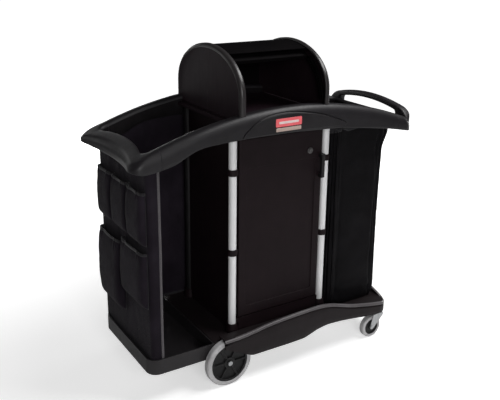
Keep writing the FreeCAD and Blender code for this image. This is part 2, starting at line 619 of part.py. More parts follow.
def make_caster(prefix, side):
    """side is -1 for the front caster and +1 for the back one."""
    y = side * CASTER_Y
    wheel_x = CASTER_X - CASTER_TRAIL
    race_low = 111.0
    crown_low = 106.0
    crown_high = race_low - GAP
    y_lo, y_hi = sorted((y - side * 38, y + side * 15.5))
    plate = box(CASTER_X - 42, CASTER_X + 42, y_lo, y_hi, CASTER_PAD_Z - 4, CASTER_PAD_Z)
    plate = plate.common(inside_skirt(1.0))
    race = Part.makeCone(13, 15.5, CASTER_PAD_Z - 4 - race_low, V(CASTER_X, y, race_low), V(0, 0, 1))
    kingpin = rod_z(CASTER_X, y, crown_low - 6, race_low, 6)
    nut = rod_z(CASTER_X, y, crown_low - 6, crown_low - GAP, 9.5)
    save(prefix + "_plate", plate.fuse([race, kingpin, nut]).removeSplitter())

    leg_in = 15.5
    leg_out = 18.0
    foot_r = 11.0
    legs = []
    for lo, hi in ((y - leg_out, y - leg_in), (y + leg_in, y + leg_out)):
        outline = [V(CASTER_X - 30, lo, crown_high), V(CASTER_X + 26, lo, crown_high),
                   V(CASTER_X + 26, lo, 100), V(wheel_x + 9, lo, CASTER_R - 7),
                   V(wheel_x - foot_r, lo, CASTER_R)]
        legs.append(polygon_prism(outline, V(0, hi - lo, 0)).fuse(rod_y(wheel_x, lo, hi, CASTER_R, foot_r)))
    crown = box(CASTER_X - 30, CASTER_X + 26, y - leg_out, y + leg_out, crown_low, crown_high)
    fork = crown.fuse(legs).cut(rod_z(CASTER_X, y, crown_low - 1, crown_high + 1, 6 + FIT))
    fork = fork.cut(rod_y(wheel_x, y - 30, y + 30, CASTER_R, CASTER_AXLE_R + 0.05)).removeSplitter()
    save(prefix + "_fork", fork)

    axle = rod_y(wheel_x, y - leg_out - 3, y + leg_out + 3, CASTER_R, CASTER_AXLE_R)
    heads = [rod_y(wheel_x, y - leg_out - 3, y - leg_out, CASTER_R, 8),
             rod_y(wheel_x, y + leg_out, y + leg_out + 3, CASTER_R, 8)]
    save(prefix + "_axle", axle.fuse(heads).removeSplitter())

    half = 13.5
    tread = rod_y(wheel_x, y - half, y + half, CASTER_R, CASTER_R)
    tread = fillet_where(tread, 6.0, lambda e: e.Length > 250)
    save(prefix + "_tread", tread.cut(rod_y(wheel_x, y - 20, y + 20, CASTER_R, CASTER_HUB_R)))
    hub = rod_y(wheel_x, y - half + 1, y + half - 1, CASTER_R, CASTER_HUB_R)
    for low, high in ((y - half, y - half + 5), (y + half - 5, y + half)):
        dish = rod_y(wheel_x, low, high, CASTER_R, CASTER_HUB_R - 5)
        hub = hub.cut(dish.cut(rod_y(wheel_x, low, high, CASTER_R, 13)))
    save(prefix + "_hub", hub.cut(rod_y(wheel_x, y - 20, y + 20, CASTER_R, CASTER_AXLE_R + FIT)))


def make_caster_bolts():
    bolts = []
    for side in (-1, 1):
        for dx in (-33, 33):
            for inward in (8, 30):
                centre_y = side * (CASTER_Y - inward)
                bolts.append(rod_z(CASTER_X + dx, centre_y, CASTER_PAD_Z - 8, CASTER_PAD_Z - 4, 5))
    save("caster_bolts", Part.makeCompound(bolts))


# ---- soft goods and holders ------------------------------------------------------------
def clear_of_tray(shape):
    """Leave out what would stand in the tray's walls and floor."""
    wall = TRAY_WALL + GAP
    split_z = TRAY_HIGH_Z + GAP
    room = plan(TRAY_LEFT + wall, DECK_LEFT - wall, TRAY_Y - wall, 38.5, 1.5, TRAY_LOW_Z + 11, split_z)
    return shape.common(room.fuse(box(-700, 700, -400, 400, split_z, 1400)))


def make_organiser():
    low_z = TRAY_LOW_Z
    high_z = 943.0
    inner_x = ORGANISER_X + FABRIC_T
    wall = box(ORGANISER_X, inner_x, -ORGANISER_Y, ORGANISER_Y, low_z, high_z)
    strip = box(inner_x, -552, -ORGANISER_Y, -ORGANISER_Y + FABRIC_T, low_z, high_z)
    save("organiser_panel", clear_of_tray(wall.fuse(strip)).removeSplitter())

    # the back panel hangs just inside the back rail and ends behind the cabinet's back post
    back_y = 218.0
    right_x = -185.0
    foot_x = DECK_LEFT - TRAY_WALL - 2
    top = [(-560, high_z), (-500, 960), (-455, 987), (-405, 1005), (-330, 1013), (right_x, 1018)]
    outline = [V(inner_x + 1, back_y, low_z), V(foot_x, back_y, low_z), V(foot_x, back_y, DECK_Z + 4),
               V(right_x, back_y, DECK_Z + 4)]
    outline += [V(x, back_y, z) for x, z in reversed(top)] + [V(inner_x + 1, back_y, high_z)]
    panel = polygon_prism(outline, V(0, FABRIC_T, 0))
    save("bay_back_panel", clear_of_tray(panel).removeSplitter())

    # y from, y to, bottom, top, depth
    pockets = [(-215, -76, 655, 860, 34), (-70, 70, 655, 860, 34), (76, 215, 655, 860, 34),
               (-215, -4, 400, 625, 38), (4, 215, 300, 600, 44)]
    solids = []
    for y0, y1, z0, z1, depth in pockets:
        face = ORGANISER_X
        pocket = box(face - depth, face, y0, y1, z0, z1)
        pocket = fillet_where(pocket, 12.0, lambda e: e.CenterOfMass.x < face - depth + 1 and
                              e.CenterOfMass.z < z1 - 1)
        hollow = box(face - depth + 3, face - 3, y0 + 4, y1 - 4, z0 + 5, z1 + 1)
        solids.append(pocket.cut(hollow))
    save("organiser_pockets", Part.makeCompound(solids))


def make_bag():
    bag = plan(BAG_X[0], BAG_X[1], BAG_Y, 30, 45, BAG_Z[0], BAG_Z[1])
    hollow = plan(BAG_X[0] + BAG_T, BAG_X[1] - BAG_T, BAG_Y - BAG_T, 27, 42, BAG_Z[0] + BAG_T, BAG_Z[1] + 1)
    save("linen_bag", bag.cut(hollow))
    clips = []
    for side in (-1, 1):
        for x in (300.0, 390.0, 480.0):
            lo, hi = sorted((side * (BAG_Y + 0.2), side * RIM_INNER_Y))
            clips.append(box(x - 12, x + 12, lo, hi, 988, 1030))
    save("bag_clips", Part.makeCompound(clips))


def make_vacuum_holder():
    """A steel hook under the right end of the rim, to hang a vacuum cleaner from."""
    low_z = 870.0
    plate = box(577, 581, -45, 45, low_z, 990)
    shelf = box(581, 611, -45, 45, low_z, low_z + 4)
    lip = box(607, 611, -45, 45, low_z + 4, low_z + 34)
    save("vacuum_holder", plate.fuse([shelf, lip]).removeSplitter())


make_base()
make_wheels()
make_caster("front_caster", -1)
make_caster("back_caster", 1)
make_caster_bolts()
make_cabinet()
make_door()
make_rim()
make_fascias()
make_hood()
make_organiser()
make_bag()
make_vacuum_holder()
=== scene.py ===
from math import acos, asin, copysign, cos, exp, hypot, pi, radians, sin, sqrt

import bmesh
import bpy
import numpy as np
from mathutils import Matrix, Vector, noise


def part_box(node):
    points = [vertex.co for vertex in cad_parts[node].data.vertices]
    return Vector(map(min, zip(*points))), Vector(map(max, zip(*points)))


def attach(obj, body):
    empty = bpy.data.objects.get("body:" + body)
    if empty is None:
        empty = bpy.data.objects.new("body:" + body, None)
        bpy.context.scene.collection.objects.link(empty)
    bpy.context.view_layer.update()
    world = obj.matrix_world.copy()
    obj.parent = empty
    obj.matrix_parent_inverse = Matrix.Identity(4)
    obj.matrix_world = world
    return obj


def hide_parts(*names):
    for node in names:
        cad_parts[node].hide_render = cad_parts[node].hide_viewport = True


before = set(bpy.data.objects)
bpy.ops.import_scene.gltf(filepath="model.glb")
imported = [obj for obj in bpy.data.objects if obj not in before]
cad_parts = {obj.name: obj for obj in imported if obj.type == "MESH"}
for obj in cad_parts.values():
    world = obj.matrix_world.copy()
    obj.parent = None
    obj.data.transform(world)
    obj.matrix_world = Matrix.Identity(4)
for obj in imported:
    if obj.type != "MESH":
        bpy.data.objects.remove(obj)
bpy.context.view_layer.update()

# Everything is in metres, in the row frame. X0 is the middle of the cabinet's length: the x values
# below are measured from it, and it is added where a point is made.
X0 = (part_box("front_left_post")[0].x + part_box("front_right_post")[1].x) / 2
UP = Vector((0, 0, 1))


# ---- numbers and curves ----
def lerp(a, b, t):
    return a + (b - a) * t


def clamp(value):
    return min(1.0, max(0.0, value))


def near(distance, reach):
    """1 at no distance, fading to nothing beyond about twice the reach."""
    return exp(-(distance / reach) ** 2)


def signed_power(value, power):
    return copysign(abs(value) ** power, value)


def interp(x, table):
    """The table's second column at x, in straight runs."""
    return float(np.interp(x, [p[0] for p in table], [p[1] for p in table]))


def eased(x, table, reach):
    """The same with its corners rounded, as the mean of five values within the reach."""
    return sum(interp(x + reach * d, table) for d in (-1.0, -0.5, 0.0, 0.5, 1.0)) / 5


def arc_radius(half_chord, sag):
    return (half_chord ** 2 + sag ** 2) / (2 * sag)


def smooth_curve(points, steps):
    """A Catmull-Rom curve through the points, as a table of x and z."""
    ends = [points[0]] + points + [points[-1]]
    table = []
    for k in range(1, len(ends) - 2):
        for i in range(steps):
            t = i / steps
            a, b, c, d = (np.array(ends[k + j]) for j in (-1, 0, 1, 2))
            table.append(tuple(0.5 * (2 * b + (c - a) * t + (2 * a - 5 * b + 4 * c - d) * t ** 2 +
                                      (3 * b - a - 3 * c + d) * t ** 3)))
    return table + [points[-1]]


def noise_at(p, scale, seed):
    return noise.noise(Vector(p) * scale + Vector((seed * 17.3, seed * 5.1, -seed * 9.7)))


# ---- meshes ----
def add_to_scene(name, data):
    obj = bpy.data.objects.new(name, data)
    bpy.context.scene.collection.objects.link(obj)
    return obj


def new_object(name, verts, faces):
    mesh = bpy.data.meshes.new(name)
    mesh.from_pydata([tuple(v) for v in verts], [], faces)
    mesh.validate()
    mesh.update()
    mesh.polygons.foreach_set("use_smooth", [True] * len(mesh.polygons))
    return add_to_scene(name, mesh)


def grid_piece(name, rows, close_rows=False, close_cols=False, caps=""):
    """A surface through rows of points, each row as long as the next; caps names the rows it closes."""
    count = len(rows)
    width = len(rows[0])
    faces = []
    for i in range(count if close_rows else count - 1):
        a = i * width
        b = (i + 1) % count * width
        for j in range(width if close_cols else width - 1):
            k = (j + 1) % width
            faces.append((a + j, a + k, b + k, b + j))
    if "first" in caps:
        faces.append(tuple(range(width))[::-1])
    if "last" in caps:
        faces.append(tuple(range((count - 1) * width, count * width)))
    piece = new_object(name, [p for row in rows for p in row], faces)
    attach(piece, "cart")
    bm = bmesh.new()
    bm.from_mesh(piece.data)
    bmesh.ops.recalc_face_normals(bm, faces=bm.faces)
    bm.to_mesh(piece.data)
    bm.free()
    return piece


def thicken(piece, thickness):
    """Give a sheet its thickness, half on each side."""
    mod = piece.modifiers.new("thick", "SOLIDIFY")
    mod.thickness = thickness
    mod.offset = 0.0
    mod.use_even_offset = True
    graph = bpy.context.evaluated_depsgraph_get()
    thin = piece.data
    thick = bpy.data.meshes.new_from_object(piece.evaluated_get(graph))
    piece.modifiers.clear()
    piece.data = thick
    bpy.data.meshes.remove(thin)


def dress(piece, material, node=None):
    """Give a new piece its material, and hide the CAD node that it stands for."""
    piece.data.materials.clear()
    piece.data.materials.append(MATS[material])
    if node:
        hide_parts(node)
    return piece


def second_material(piece, material, rows, width, columns):
    """Another material for some columns of a grid's first rows, each width faces long."""
    piece.data.materials.append(MATS[material])
    for i in range(rows):
        for j in columns:
            piece.data.polygons[i * width + j].material_index = 1


def keep_edges(piece, degrees):
    piece.data.set_sharp_from_angle(angle=radians(degrees))


def moulding(name, rows, degrees, material, node=None):
    """A closed piece through closed sections, whose edges stay sharp from so many degrees up."""
    piece = grid_piece(name, rows, close_cols=True, caps="first last")
    keep_edges(piece, degrees)
    return dress(piece, material, node)


# ---- materials ----
class Mat:
    """A small builder of node materials."""

    def __init__(self, name):
        self.mat = bpy.data.materials.new(name)
        self.mat.use_nodes = True
        self.nodes = self.mat.node_tree.nodes
        self.links = self.mat.node_tree.links
        self.bsdf = self.nodes["Principled BSDF"]
        self.coords = self.nodes.new("ShaderNodeTexCoord").outputs["Object"]

    def fill(self, node, sockets):
        """Fill sockets with numbers, colours or other nodes' outputs; None leaves one as it is."""
        for key, value in sockets.items():
            if isinstance(value, bpy.types.NodeSocket):
                self.links.new(value, node.inputs[key])
            elif value is not None:
                node.inputs[key].default_value = value

    def set(self, **values):
        """Fill sockets of the surface shader, whose names have _ for a space."""
        self.fill(self.bsdf, {key.replace("_", " "): value for key, value in values.items()})

    def add(self, kind, sockets, **settings):
        """A new node with its settings and its sockets filled."""
        node = self.nodes.new("ShaderNode" + kind)
        for key, value in settings.items():
            setattr(node, key, value)
        self.fill(node, sockets)
        return node

    def mapped(self, scale=(1, 1, 1), rotation=(0, 0, 0)):
        sockets = {"Vector": self.coords, "Scale": scale, "Rotation": rotation}
        return self.add("Mapping", sockets).outputs["Vector"]

    def noise(self, scale, detail=3.0, rough=0.55, vector=None):
        sockets = {"Vector": vector or self.coords, "Scale": scale, "Detail": detail, "Roughness": rough}
        return self.add("TexNoise", sockets).outputs["Fac"]

    def voronoi(self, scale):
        return self.add("TexVoronoi", {"Vector": self.coords, "Scale": scale}).outputs["Distance"]

    def wave(self, scale, direction, vector=None):
        sockets = {"Vector": vector or self.coords, "Scale": scale}
        return self.add("TexWave", sockets, bands_direction=direction).outputs["Fac"]

    def ramp(self, value, low, high, out_low=0.0, out_high=1.0):
        sockets = {"Value": value, "From Min": low, "From Max": high, "To Min": out_low, "To Max": out_high}
        return self.add("MapRange", sockets).outputs["Result"]

    def math(self, operation, a, b):
        return self.add("Math", {0: a, 1: b}, operation=operation).outputs[0]

    def times(self, a, b):
        return self.math("MULTIPLY", a, b)

    def blend(self, a, b, share):
        """A share of a, and the rest of b."""
        return self.math("ADD", self.times(a, share), self.times(b, 1 - share))

    def mix(self, factor, a, b):
        """From colour a to colour b, each a tuple or another node's output."""
        a, b = ((*color, 1.0) if isinstance(color, tuple) else color for color in (a, b))
        return self.add("Mix", {0: factor, 6: a, 7: b}, data_type="RGBA").outputs[2]

    def soft_normal(self, radius):
        """The normal with every edge rounded to the radius."""
        return self.add("Bevel", {"Radius": radius}, samples=4).outputs[0]

    def edge(self, soft):
        """1 near a sharp edge, where the soft normal leaves the true one, and 0 elsewhere."""
        flat = self.nodes.new("ShaderNodeNewGeometry").outputs["Normal"]
        dot = self.add("VectorMath", {0: soft, 1: flat}, operation="DOT_PRODUCT")
        return self.ramp(dot.outputs["Value"], 0.995, 0.86)

    def bump(self, height, distance, strength, normal=None):
        sockets = {"Height": height, "Distance": distance, "Strength": strength, "Normal": normal}
        return self.add("Bump", sockets).outputs["Normal"]

    def out(self, color, roughness, normal=None):
        self.set(Base_Color=color, Roughness=roughness, Normal=normal)
        return self.mat


def moulded_plastic(name, dark, light, rough, grains, grain_depth, wear, spec, edge_radius=0.0015):
    """Moulded plastic: pebble grain, slow tone changes, fine scuffs, rubbed edges."""
    m = Mat(name)
    slow = m.noise(5.0)
    cloudy = m.noise(23.0, 4.0)
    scuffs = m.noise(60.0, 6.0, 0.7, m.mapped((1.0, 1.0, 0.16), (0.25, 0.4, 0.0)))
    scratch = m.noise(420.0, 3.0, 0.6, m.mapped((0.05, 0.05, 1.0), (0.5, 0.9, 0.3)))
    fine = m.noise(grains * 2.6, 2.0)
    soft = m.soft_normal(edge_radius)
    lighter = tuple(min(1.0, c * 2.2 + 0.012) for c in light)
    base = m.mix(m.ramp(m.blend(slow, cloudy, 0.6), 0.36, 0.64), dark, light)
    rubbed = m.times(m.edge(soft), m.ramp(cloudy, 0.38, 0.62, 0.25, 1.0))
    base = m.mix(m.times(rubbed, wear), base, lighter)
    marks = m.times(m.ramp(scratch, 0.66, 0.74), m.ramp(scuffs, 0.5, 0.64))
    base = m.mix(m.times(marks, 0.4), base, lighter)
    roughness = m.ramp(m.blend(scuffs, fine, 0.6), 0.3, 0.7, rough - 0.07, rough + 0.09)
    height = m.math("ADD", m.voronoi(grains), m.times(fine, 0.35))
    m.set(Specular_IOR_Level=spec)
    return m.out(base, roughness, m.bump(height, grain_depth, 0.8, soft))


def brushed_metal(name, dark, light, rough, metallic, pits):
    """Drawn or plated metal with fine upright lines and a few dull spots."""
    m = Mat(name)
    lines = m.noise(1.0, 4.0, 0.65, m.mapped((520.0, 520.0, 7.0)))
    clouds = m.noise(17.0, 4.0)
    spots = m.ramp(m.voronoi(85.0), 0.12, 0.02)
    base = m.mix(m.ramp(lines, 0.3, 0.7), dark, light)
    base = m.mix(m.times(m.ramp(clouds, 0.45, 0.7), 0.35), base, dark)
    base = m.mix(m.times(spots, pits), base, tuple(c * 0.55 for c in dark))
    roughness = m.ramp(m.blend(lines, clouds, 0.5), 0.3, 0.7, rough - 0.08, rough + 0.1)
    m.set(Metallic=metallic)
    return m.out(base, roughness, m.bump(lines, 0.00004, 0.5, m.soft_normal(0.0008)))


def rubber(name, dark, light):
    """Worn rubber with dirt in patches."""
    m = Mat(name)
    clouds = m.noise(28.0, 5.0, 0.6)
    dirt = m.noise(75.0, 6.0, 0.7)
    fine = m.noise(1500.0, 2.0)
    base = m.mix(m.ramp(clouds, 0.35, 0.65), dark, light)
    base = m.mix(m.ramp(dirt, 0.58, 0.75, 0.0, 0.45), base, tuple(c * 0.45 for c in dark))
    normal = m.bump(m.math("ADD", fine, m.times(dirt, 0.6)), 0.00015, 0.7)
    m.set(Specular_IOR_Level=0.35)
    return m.out(base, m.ramp(dirt, 0.3, 0.7, 0.55, 0.75), normal)


def woven(name, dark, light, thread, rough, sheen, depth, spec, coat):
    """Woven nylon: over-and-under threads, slubs, fading and lint."""
    m = Mat(name)
    scale = 0.5 / thread
    warp = m.wave(scale, "Z")
    weft = m.wave(scale, "X", m.mapped(rotation=(0, 0, radians(37))))
    slub = m.noise(260.0, 4.0, 0.6, m.mapped((1.0, 1.0, 0.25)))
    fade = m.ramp(m.noise(7.0, 4.0), 0.42, 0.7, 0.0, 0.5)
    lint = m.ramp(m.voronoi(170.0), 0.045, 0.015, 0.0, 0.25)
    cross = m.times(warp, weft)
    base = m.mix(m.ramp(m.blend(cross, slub, 0.5), 0.15, 0.65), dark, light)
    base = m.mix(fade, base, tuple(c * 1.5 + 0.004 for c in light))
    base = m.mix(lint, base, tuple(c * 3 + 0.03 for c in light))
    height = m.math("ADD", m.math("MAXIMUM", warp, weft), m.times(slub, 0.8))
    m.set(Specular_IOR_Level=spec, Sheen_Weight=sheen, Sheen_Roughness=0.45)
    if coat:
        m.set(Coat_Weight=coat, Coat_Roughness=0.42)
    return m.out(base, m.ramp(slub, 0.3, 0.7, rough - 0.1, rough + 0.1), m.bump(height, depth, 0.9))


def tape(name, dark, light):
    """Binding tape with tight slanted ribs."""
    m = Mat(name)
    ribs = m.wave(700.0, "DIAGONAL")
    slub = m.noise(300.0)
    base = m.mix(m.ramp(m.math("ADD", m.times(ribs, 0.5), slub), 0.4, 1.0), dark, light)
    m.set(Specular_IOR_Level=0.25, Sheen_Weight=0.2)
    return m.out(base, m.ramp(slub, 0.3, 0.7, 0.6, 0.8), m.bump(ribs, 0.00018, 0.8))


def painted(name, dark, light, rough):
    """Paint with a faint orange peel, rubbed to bare metal here and there along its edges."""
    m = Mat(name)
    peel = m.noise(380.0, 2.0)
    clouds = m.noise(15.0, 4.0)
    soft = m.soft_normal(0.001)
    base = m.mix(m.ramp(clouds, 0.35, 0.65), dark, light)
    rubbed = m.times(m.edge(soft), m.ramp(clouds, 0.45, 0.6, 0.0, 0.5))
    base = m.mix(rubbed, base, (0.35, 0.34, 0.33))
    m.set(Specular_IOR_Level=0.25, Coat_Weight=0.04, Coat_Roughness=0.4)
    return m.out(base, m.ramp(peel, 0.3, 0.7, rough - 0.05, rough + 0.08), m.bump(peel, 0.00008, 0.6, soft))


def badge(name, dark, light):
    """Gloss badge: a hot-stamped face with a faint brushed sheen."""
    m = Mat(name)
    clouds = m.noise(40.0)
    fine = m.noise(900.0, 3.0, 0.6, m.mapped((0.15, 1.0, 1.0)))
    base = m.mix(m.ramp(m.blend(clouds, fine, 0.6), 0.35, 0.65), dark, light)
    m.set(Coat_Weight=0.35, Coat_Roughness=0.12)
    normal = m.bump(fine, 0.00004, 0.5, m.soft_normal(0.0012))
    return m.out(base, m.ramp(fine, 0.3, 0.7, 0.25, 0.4), normal)


# Each plastic's dark and light tone, roughness, grains per metre, grain depth, wear and specular level,
# and the radius of its edges where it isn't the usual one.
PLASTICS = {
    "rim_plastic": ((0.0076, 0.0064, 0.008), (0.0124, 0.0107, 0.0131), 0.47, 700, 0.00008, 0.25, 0.42),
    # a much darker copy of the rim's plastic for its inner walls and underside: painted shade
    "rim_inner_painted_shade_plastic": ((0.004, 0.0032, 0.0038), (0.009, 0.0076, 0.0086), 0.6, 420, 0.0002, 0.3, 0.08),
    "fascia_plastic": ((0.013, 0.0118, 0.0132), (0.021, 0.0192, 0.0212), 0.46, 800, 0.00008, 0.3, 0.25),
    "cabinet_plastic": ((0.0096, 0.0052, 0.0065), (0.013, 0.0071, 0.0089), 0.5, 620, 0.00016, 0.3, 0.15),
    "base_plastic": ((0.0112, 0.008, 0.0088), (0.0165, 0.0122, 0.0134), 0.48, 560, 0.00014, 0.4, 0.2),
    # a much lighter copy of the base plastic for the skirt's rolled top edge: a painted highlight along it
    "skirt_lip_painted_highlight": ((0.072, 0.065, 0.069), (0.115, 0.105, 0.11), 0.36, 700, 0.00006, 0.5, 0.5),
    "tray_plastic": ((0.0185, 0.0165, 0.018), (0.027, 0.0245, 0.0265), 0.4, 560, 0.00014, 0.5, 0.35),
    "hood_plastic": ((0.0148, 0.008, 0.0112), (0.0198, 0.0112, 0.0152), 0.5, 760, 0.0001, 0.3, 0.15),
    # a lighter, glossier copy of the hood's plastic for the ends' bands: the lighter tone is a painted
    # highlight along their rounding
    "hood_band_highlight_plastic": ((0.019, 0.0165, 0.0172), (0.028, 0.0245, 0.0255), 0.34, 760, 0.00005, 0.5, 0.5),
    "shutter_plastic": ((0.0022, 0.0018, 0.0021), (0.0042, 0.0035, 0.0039), 0.68, 760, 0.0001, 0.3, 0.03),
    "pull_plastic": ((0.008, 0.0072, 0.0078), (0.014, 0.0125, 0.0135), 0.38, 900, 0.0001, 0.35, 0.35, 0.001),
    "hub_plastic": ((0.004, 0.0038, 0.0042), (0.0165, 0.016, 0.0168), 0.45, 260, 0.0004, 0.7, 0.3),
}
# The rest: name, dark and light tone, and what its maker takes after them.
OTHERS = [
    (brushed_metal, "post_aluminium", (0.88, 0.88, 0.89), (0.97, 0.97, 0.975), 0.36, 0.12, 0.15),
    (brushed_metal, "zinc_steel", (0.42, 0.43, 0.44), (0.66, 0.67, 0.68), 0.33, 1.0, 0.4),
    (brushed_metal, "lock_steel", (0.14, 0.135, 0.135), (0.24, 0.235, 0.235), 0.4, 0.9, 0.4),
    (rubber, "grey_rubber", (0.44, 0.433, 0.44), (0.58, 0.571, 0.58)),
    # black paint: the own finish of the vacuum holder and bag clips, and painted shade on the back posts
    (painted, "black_steel", (0.006, 0.0055, 0.006), (0.012, 0.0112, 0.012), 0.58),
    (woven, "organiser_nylon", (0.006, 0.004, 0.007), (0.0155, 0.0112, 0.0176),
     0.0014, 0.78, 0.05, 0.00022, 0.12, 0.0),
    (woven, "bag_nylon", (0.0018, 0.0015, 0.002), (0.005, 0.0043, 0.0055),
     0.0011, 0.6, 0.01, 0.00012, 0.07, 0.03),
    (tape, "binding_tape", (0.006, 0.0055, 0.007), (0.02, 0.018, 0.022)),
    # a much lighter tape for the organiser's front edge: a painted highlight down that edge
    (tape, "organiser_edge_highlight_tape", (0.05, 0.046, 0.05), (0.13, 0.12, 0.128)),
    (badge, "badge_red", (0.9, 0.12, 0.14), (0.99, 0.19, 0.21)),
    (badge, "badge_pale", (0.8, 0.62, 0.6), (0.92, 0.76, 0.74)),
    (badge, "badge_cream", (0.46, 0.34, 0.29), (0.6, 0.47, 0.41)),
]
MATS = {name: moulded_plastic(name, *values) for name, values in PLASTICS.items()}
MATS.update({name: maker(name, *values) for maker, name, *values in OTHERS})

# The CAD nodes that show as they are.
CAD_MATS = {
    "base_plastic": ["base_deck", "axle_blocks"],
    "tray_plastic": ["linen_tray"],
    "cabinet_plastic": ["cabinet_right_side", "cabinet_left_side", "cabinet_back", "door_surround",
                        "post_sockets", "lower_shelf", "upper_shelf", "strike_collars", "door_hinge_collars",
                        "door_panel"],
    "pull_plastic": ["door_pull"],
    "hood_plastic": ["hood_floor"],
    "shutter_plastic": ["hood_tracks", "hood_shutter", "shutter_bar"],
    "post_aluminium": ["front_left_post", "front_right_post"],
    "zinc_steel": ["wheel_axle", "caster_bolts", "shelf_pins"],
    "lock_steel": ["lock_escutcheon", "lock_cylinder", "lock_cam", "lock_strike"],
    # The back posts get the black paint as painted shade, for the shade they stand in; the vacuum holder and
    # bag clips are black steel.
    "black_steel": ["back_left_post", "back_right_post", "vacuum_holder", "bag_clips"],
    "badge_red": ["badge_plate"],
    "grey_rubber": [],
    "hub_plastic": [],
}
for side in ("front", "back"):
    CAD_MATS["grey_rubber"] += [side + "_wheel_tyre", side + "_caster_tread"]
    CAD_MATS["hub_plastic"] += [side + "_wheel_hub", side + "_caster_hub"]
    CAD_MATS["zinc_steel"] += [side + "_caster_" + part for part in ("plate", "fork", "axle")]
for material, names in CAD_MATS.items():
    for name in names:
        for material_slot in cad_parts[name].material_slots:
            material_slot.material = MATS[material]


# ---- rim ----
RIM_CROWN = 1.122  # the rails' top is an arc, highest at x 0
RIM_R = arc_radius(0.600, 0.112)
RIM_FACE = 0.274  # the rails' outer and inner faces, from the middle plane
RIM_IN = 0.215
RIM_WALL = 0.005
RIM_RISE = 0.044  # the outer rounding's height, and how far it reaches inwards
ROUND_OUT = 0.028
ROUND_IN = 0.015
LEFT_JOINT = -0.560  # where the rails meet the ends, with half a gap on each side
RIGHT_JOINT = 0.540
HALF_GAP = 0.0005
# Each plan corner's centre in x, that centre's distance from the middle plane, and its radius.
LEFT_OUTER = (-0.632, 0.234, 0.040)
LEFT_INNER = (-0.570, 0.185, 0.030)
RIGHT_OUTER = (0.583, 0.229, 0.045)
RIGHT_INNER = (0.541, 0.184, 0.031)
CORNER_STEPS = 14
END_STEPS = 18
RIM_LOW = [(-0.672, 0.963), (-0.667, 0.954), (-0.650, 0.946), (-0.600, 0.948), (-0.555, 0.956),
           (-0.505, 0.966), (-0.451, 0.996), (-0.405, 1.013), (-0.330, 1.020), (-0.200, 1.024),
           (0.0, 1.024), (0.240, 1.013), (0.484, 0.979), (0.560, 0.964), (0.628, 0.950)]
FASCIA_LEFT = -0.230  # the raised name panel's ends, and its top edge between them
FASCIA_RIGHT = 0.256
FASCIA_CROWN = smooth_curve([
    (FASCIA_LEFT, 1.027), (-0.222, 1.039), (-0.204, 1.055), (-0.174, 1.076), (-0.118, 1.094), (-0.051, 1.101),
    (0.019, 1.098), (0.115, 1.082), (0.180, 1.062), (0.244, 1.036), (FASCIA_RIGHT, 1.022)], 8)
GROOVE_HALF = 0.0036
GROOVE_DEPTH = 0.0042
INNER_WALL_FROM = 30  # the section's points from here on are on the inner wall and inside


def rim_top(x):
    return RIM_CROWN - RIM_R + sqrt(RIM_R ** 2 - x * x)


def rim_low(x):
    """The rim's lower edge, rounded where the table turns."""
    return eased(x, RIM_LOW, 0.024)


def bowed_x(y, corner, reach, bow):
    """x of the left end's face: level with its corner out at the reach, and bowed inwards in the middle."""
    radius = arc_radius(reach, bow)
    y = min(abs(y), reach)
    return corner[0] - corner[2] + bow - radius + sqrt(radius ** 2 - y * y)


def rail_xs():
    """Stations along a rail, closer together where the name panel's outline is steep."""
    xs = np.concatenate([np.linspace(LEFT_JOINT + HALF_GAP, RIGHT_JOINT - HALF_GAP, 75),
                         np.linspace(-0.238, -0.160, 30), np.linspace(0.225, 0.262, 13)])
    return [float(x) for x in np.unique(np.round(xs, 4))]


def groove(x, low, top):
    """Height and depth of the groove round the name panel; its depth is zero beyond the panel."""
    z = interp(x, FASCIA_CROWN) + GROOVE_HALF - 0.0006
    inside = clamp(min(x - FASCIA_LEFT, FASCIA_RIGHT - x) / 0.006 + 0.3)
    return min(max(z, low + 0.008), top - 0.012), GROOVE_DEPTH * inside


def corner_point(corner, side, step):
    """A plan point on a front corner, from the end's face at step 0 to the rail's; side is -1 on the left."""
    x, y, r = corner
    a = radians(90 * step / CORNER_STEPS)
    return x + side * r * cos(a), -y - r * sin(a)


def rim_stations():
    """Outer and inner plan points from the left end's middle, round the front, to the right end's middle."""
    left, right = [], []
    for i in range(END_STEPS + 1):
        t = i / END_STEPS
        y_out = -LEFT_OUTER[1] * t
        y_in = -LEFT_INNER[1] * t
        left.append(((bowed_x(y_out, LEFT_OUTER, 0.230, 0.032), y_out),
                     (bowed_x(y_in, LEFT_INNER, 0.180, 0.028), y_in)))
    for i in range(1, CORNER_STEPS + 1):
        left.append((corner_point(LEFT_OUTER, -1, i), corner_point(LEFT_INNER, -1, i)))
    end = LEFT_JOINT - HALF_GAP
    for i in range(1, 9):
        x_out, x_in = (lerp(corner[0], end, i / 8) for corner in (LEFT_OUTER, LEFT_INNER))
        left.append(((x_out, -RIM_FACE), (x_in, -RIM_IN)))
    front = [((x, -RIM_FACE), (x, -RIM_IN)) for x in rail_xs()]
    start = RIGHT_JOINT + HALF_GAP
    for i in range(5):
        # the inner corner starts at the joint, so these inner points are only kept apart
        x_in = start + 0.0001 * max(0, i - 1)
        right.append(((lerp(start, RIGHT_OUTER[0], i / 4), -RIM_FACE), (x_in, -RIM_IN)))
    for i in range(CORNER_STEPS - 1, -1, -1):
        right.append((corner_point(RIGHT_OUTER, 1, i), corner_point(RIGHT_INNER, 1, i)))
    x_out, x_in = (corner[0] + corner[2] for corner in (RIGHT_OUTER, RIGHT_INNER))
    for i in range(1, END_STEPS + 1):
        t = 1 - i / END_STEPS
        right.append(((x_out, -RIGHT_OUTER[1] * t), (x_in, -RIGHT_INNER[1] * t)))
    return left, front, right


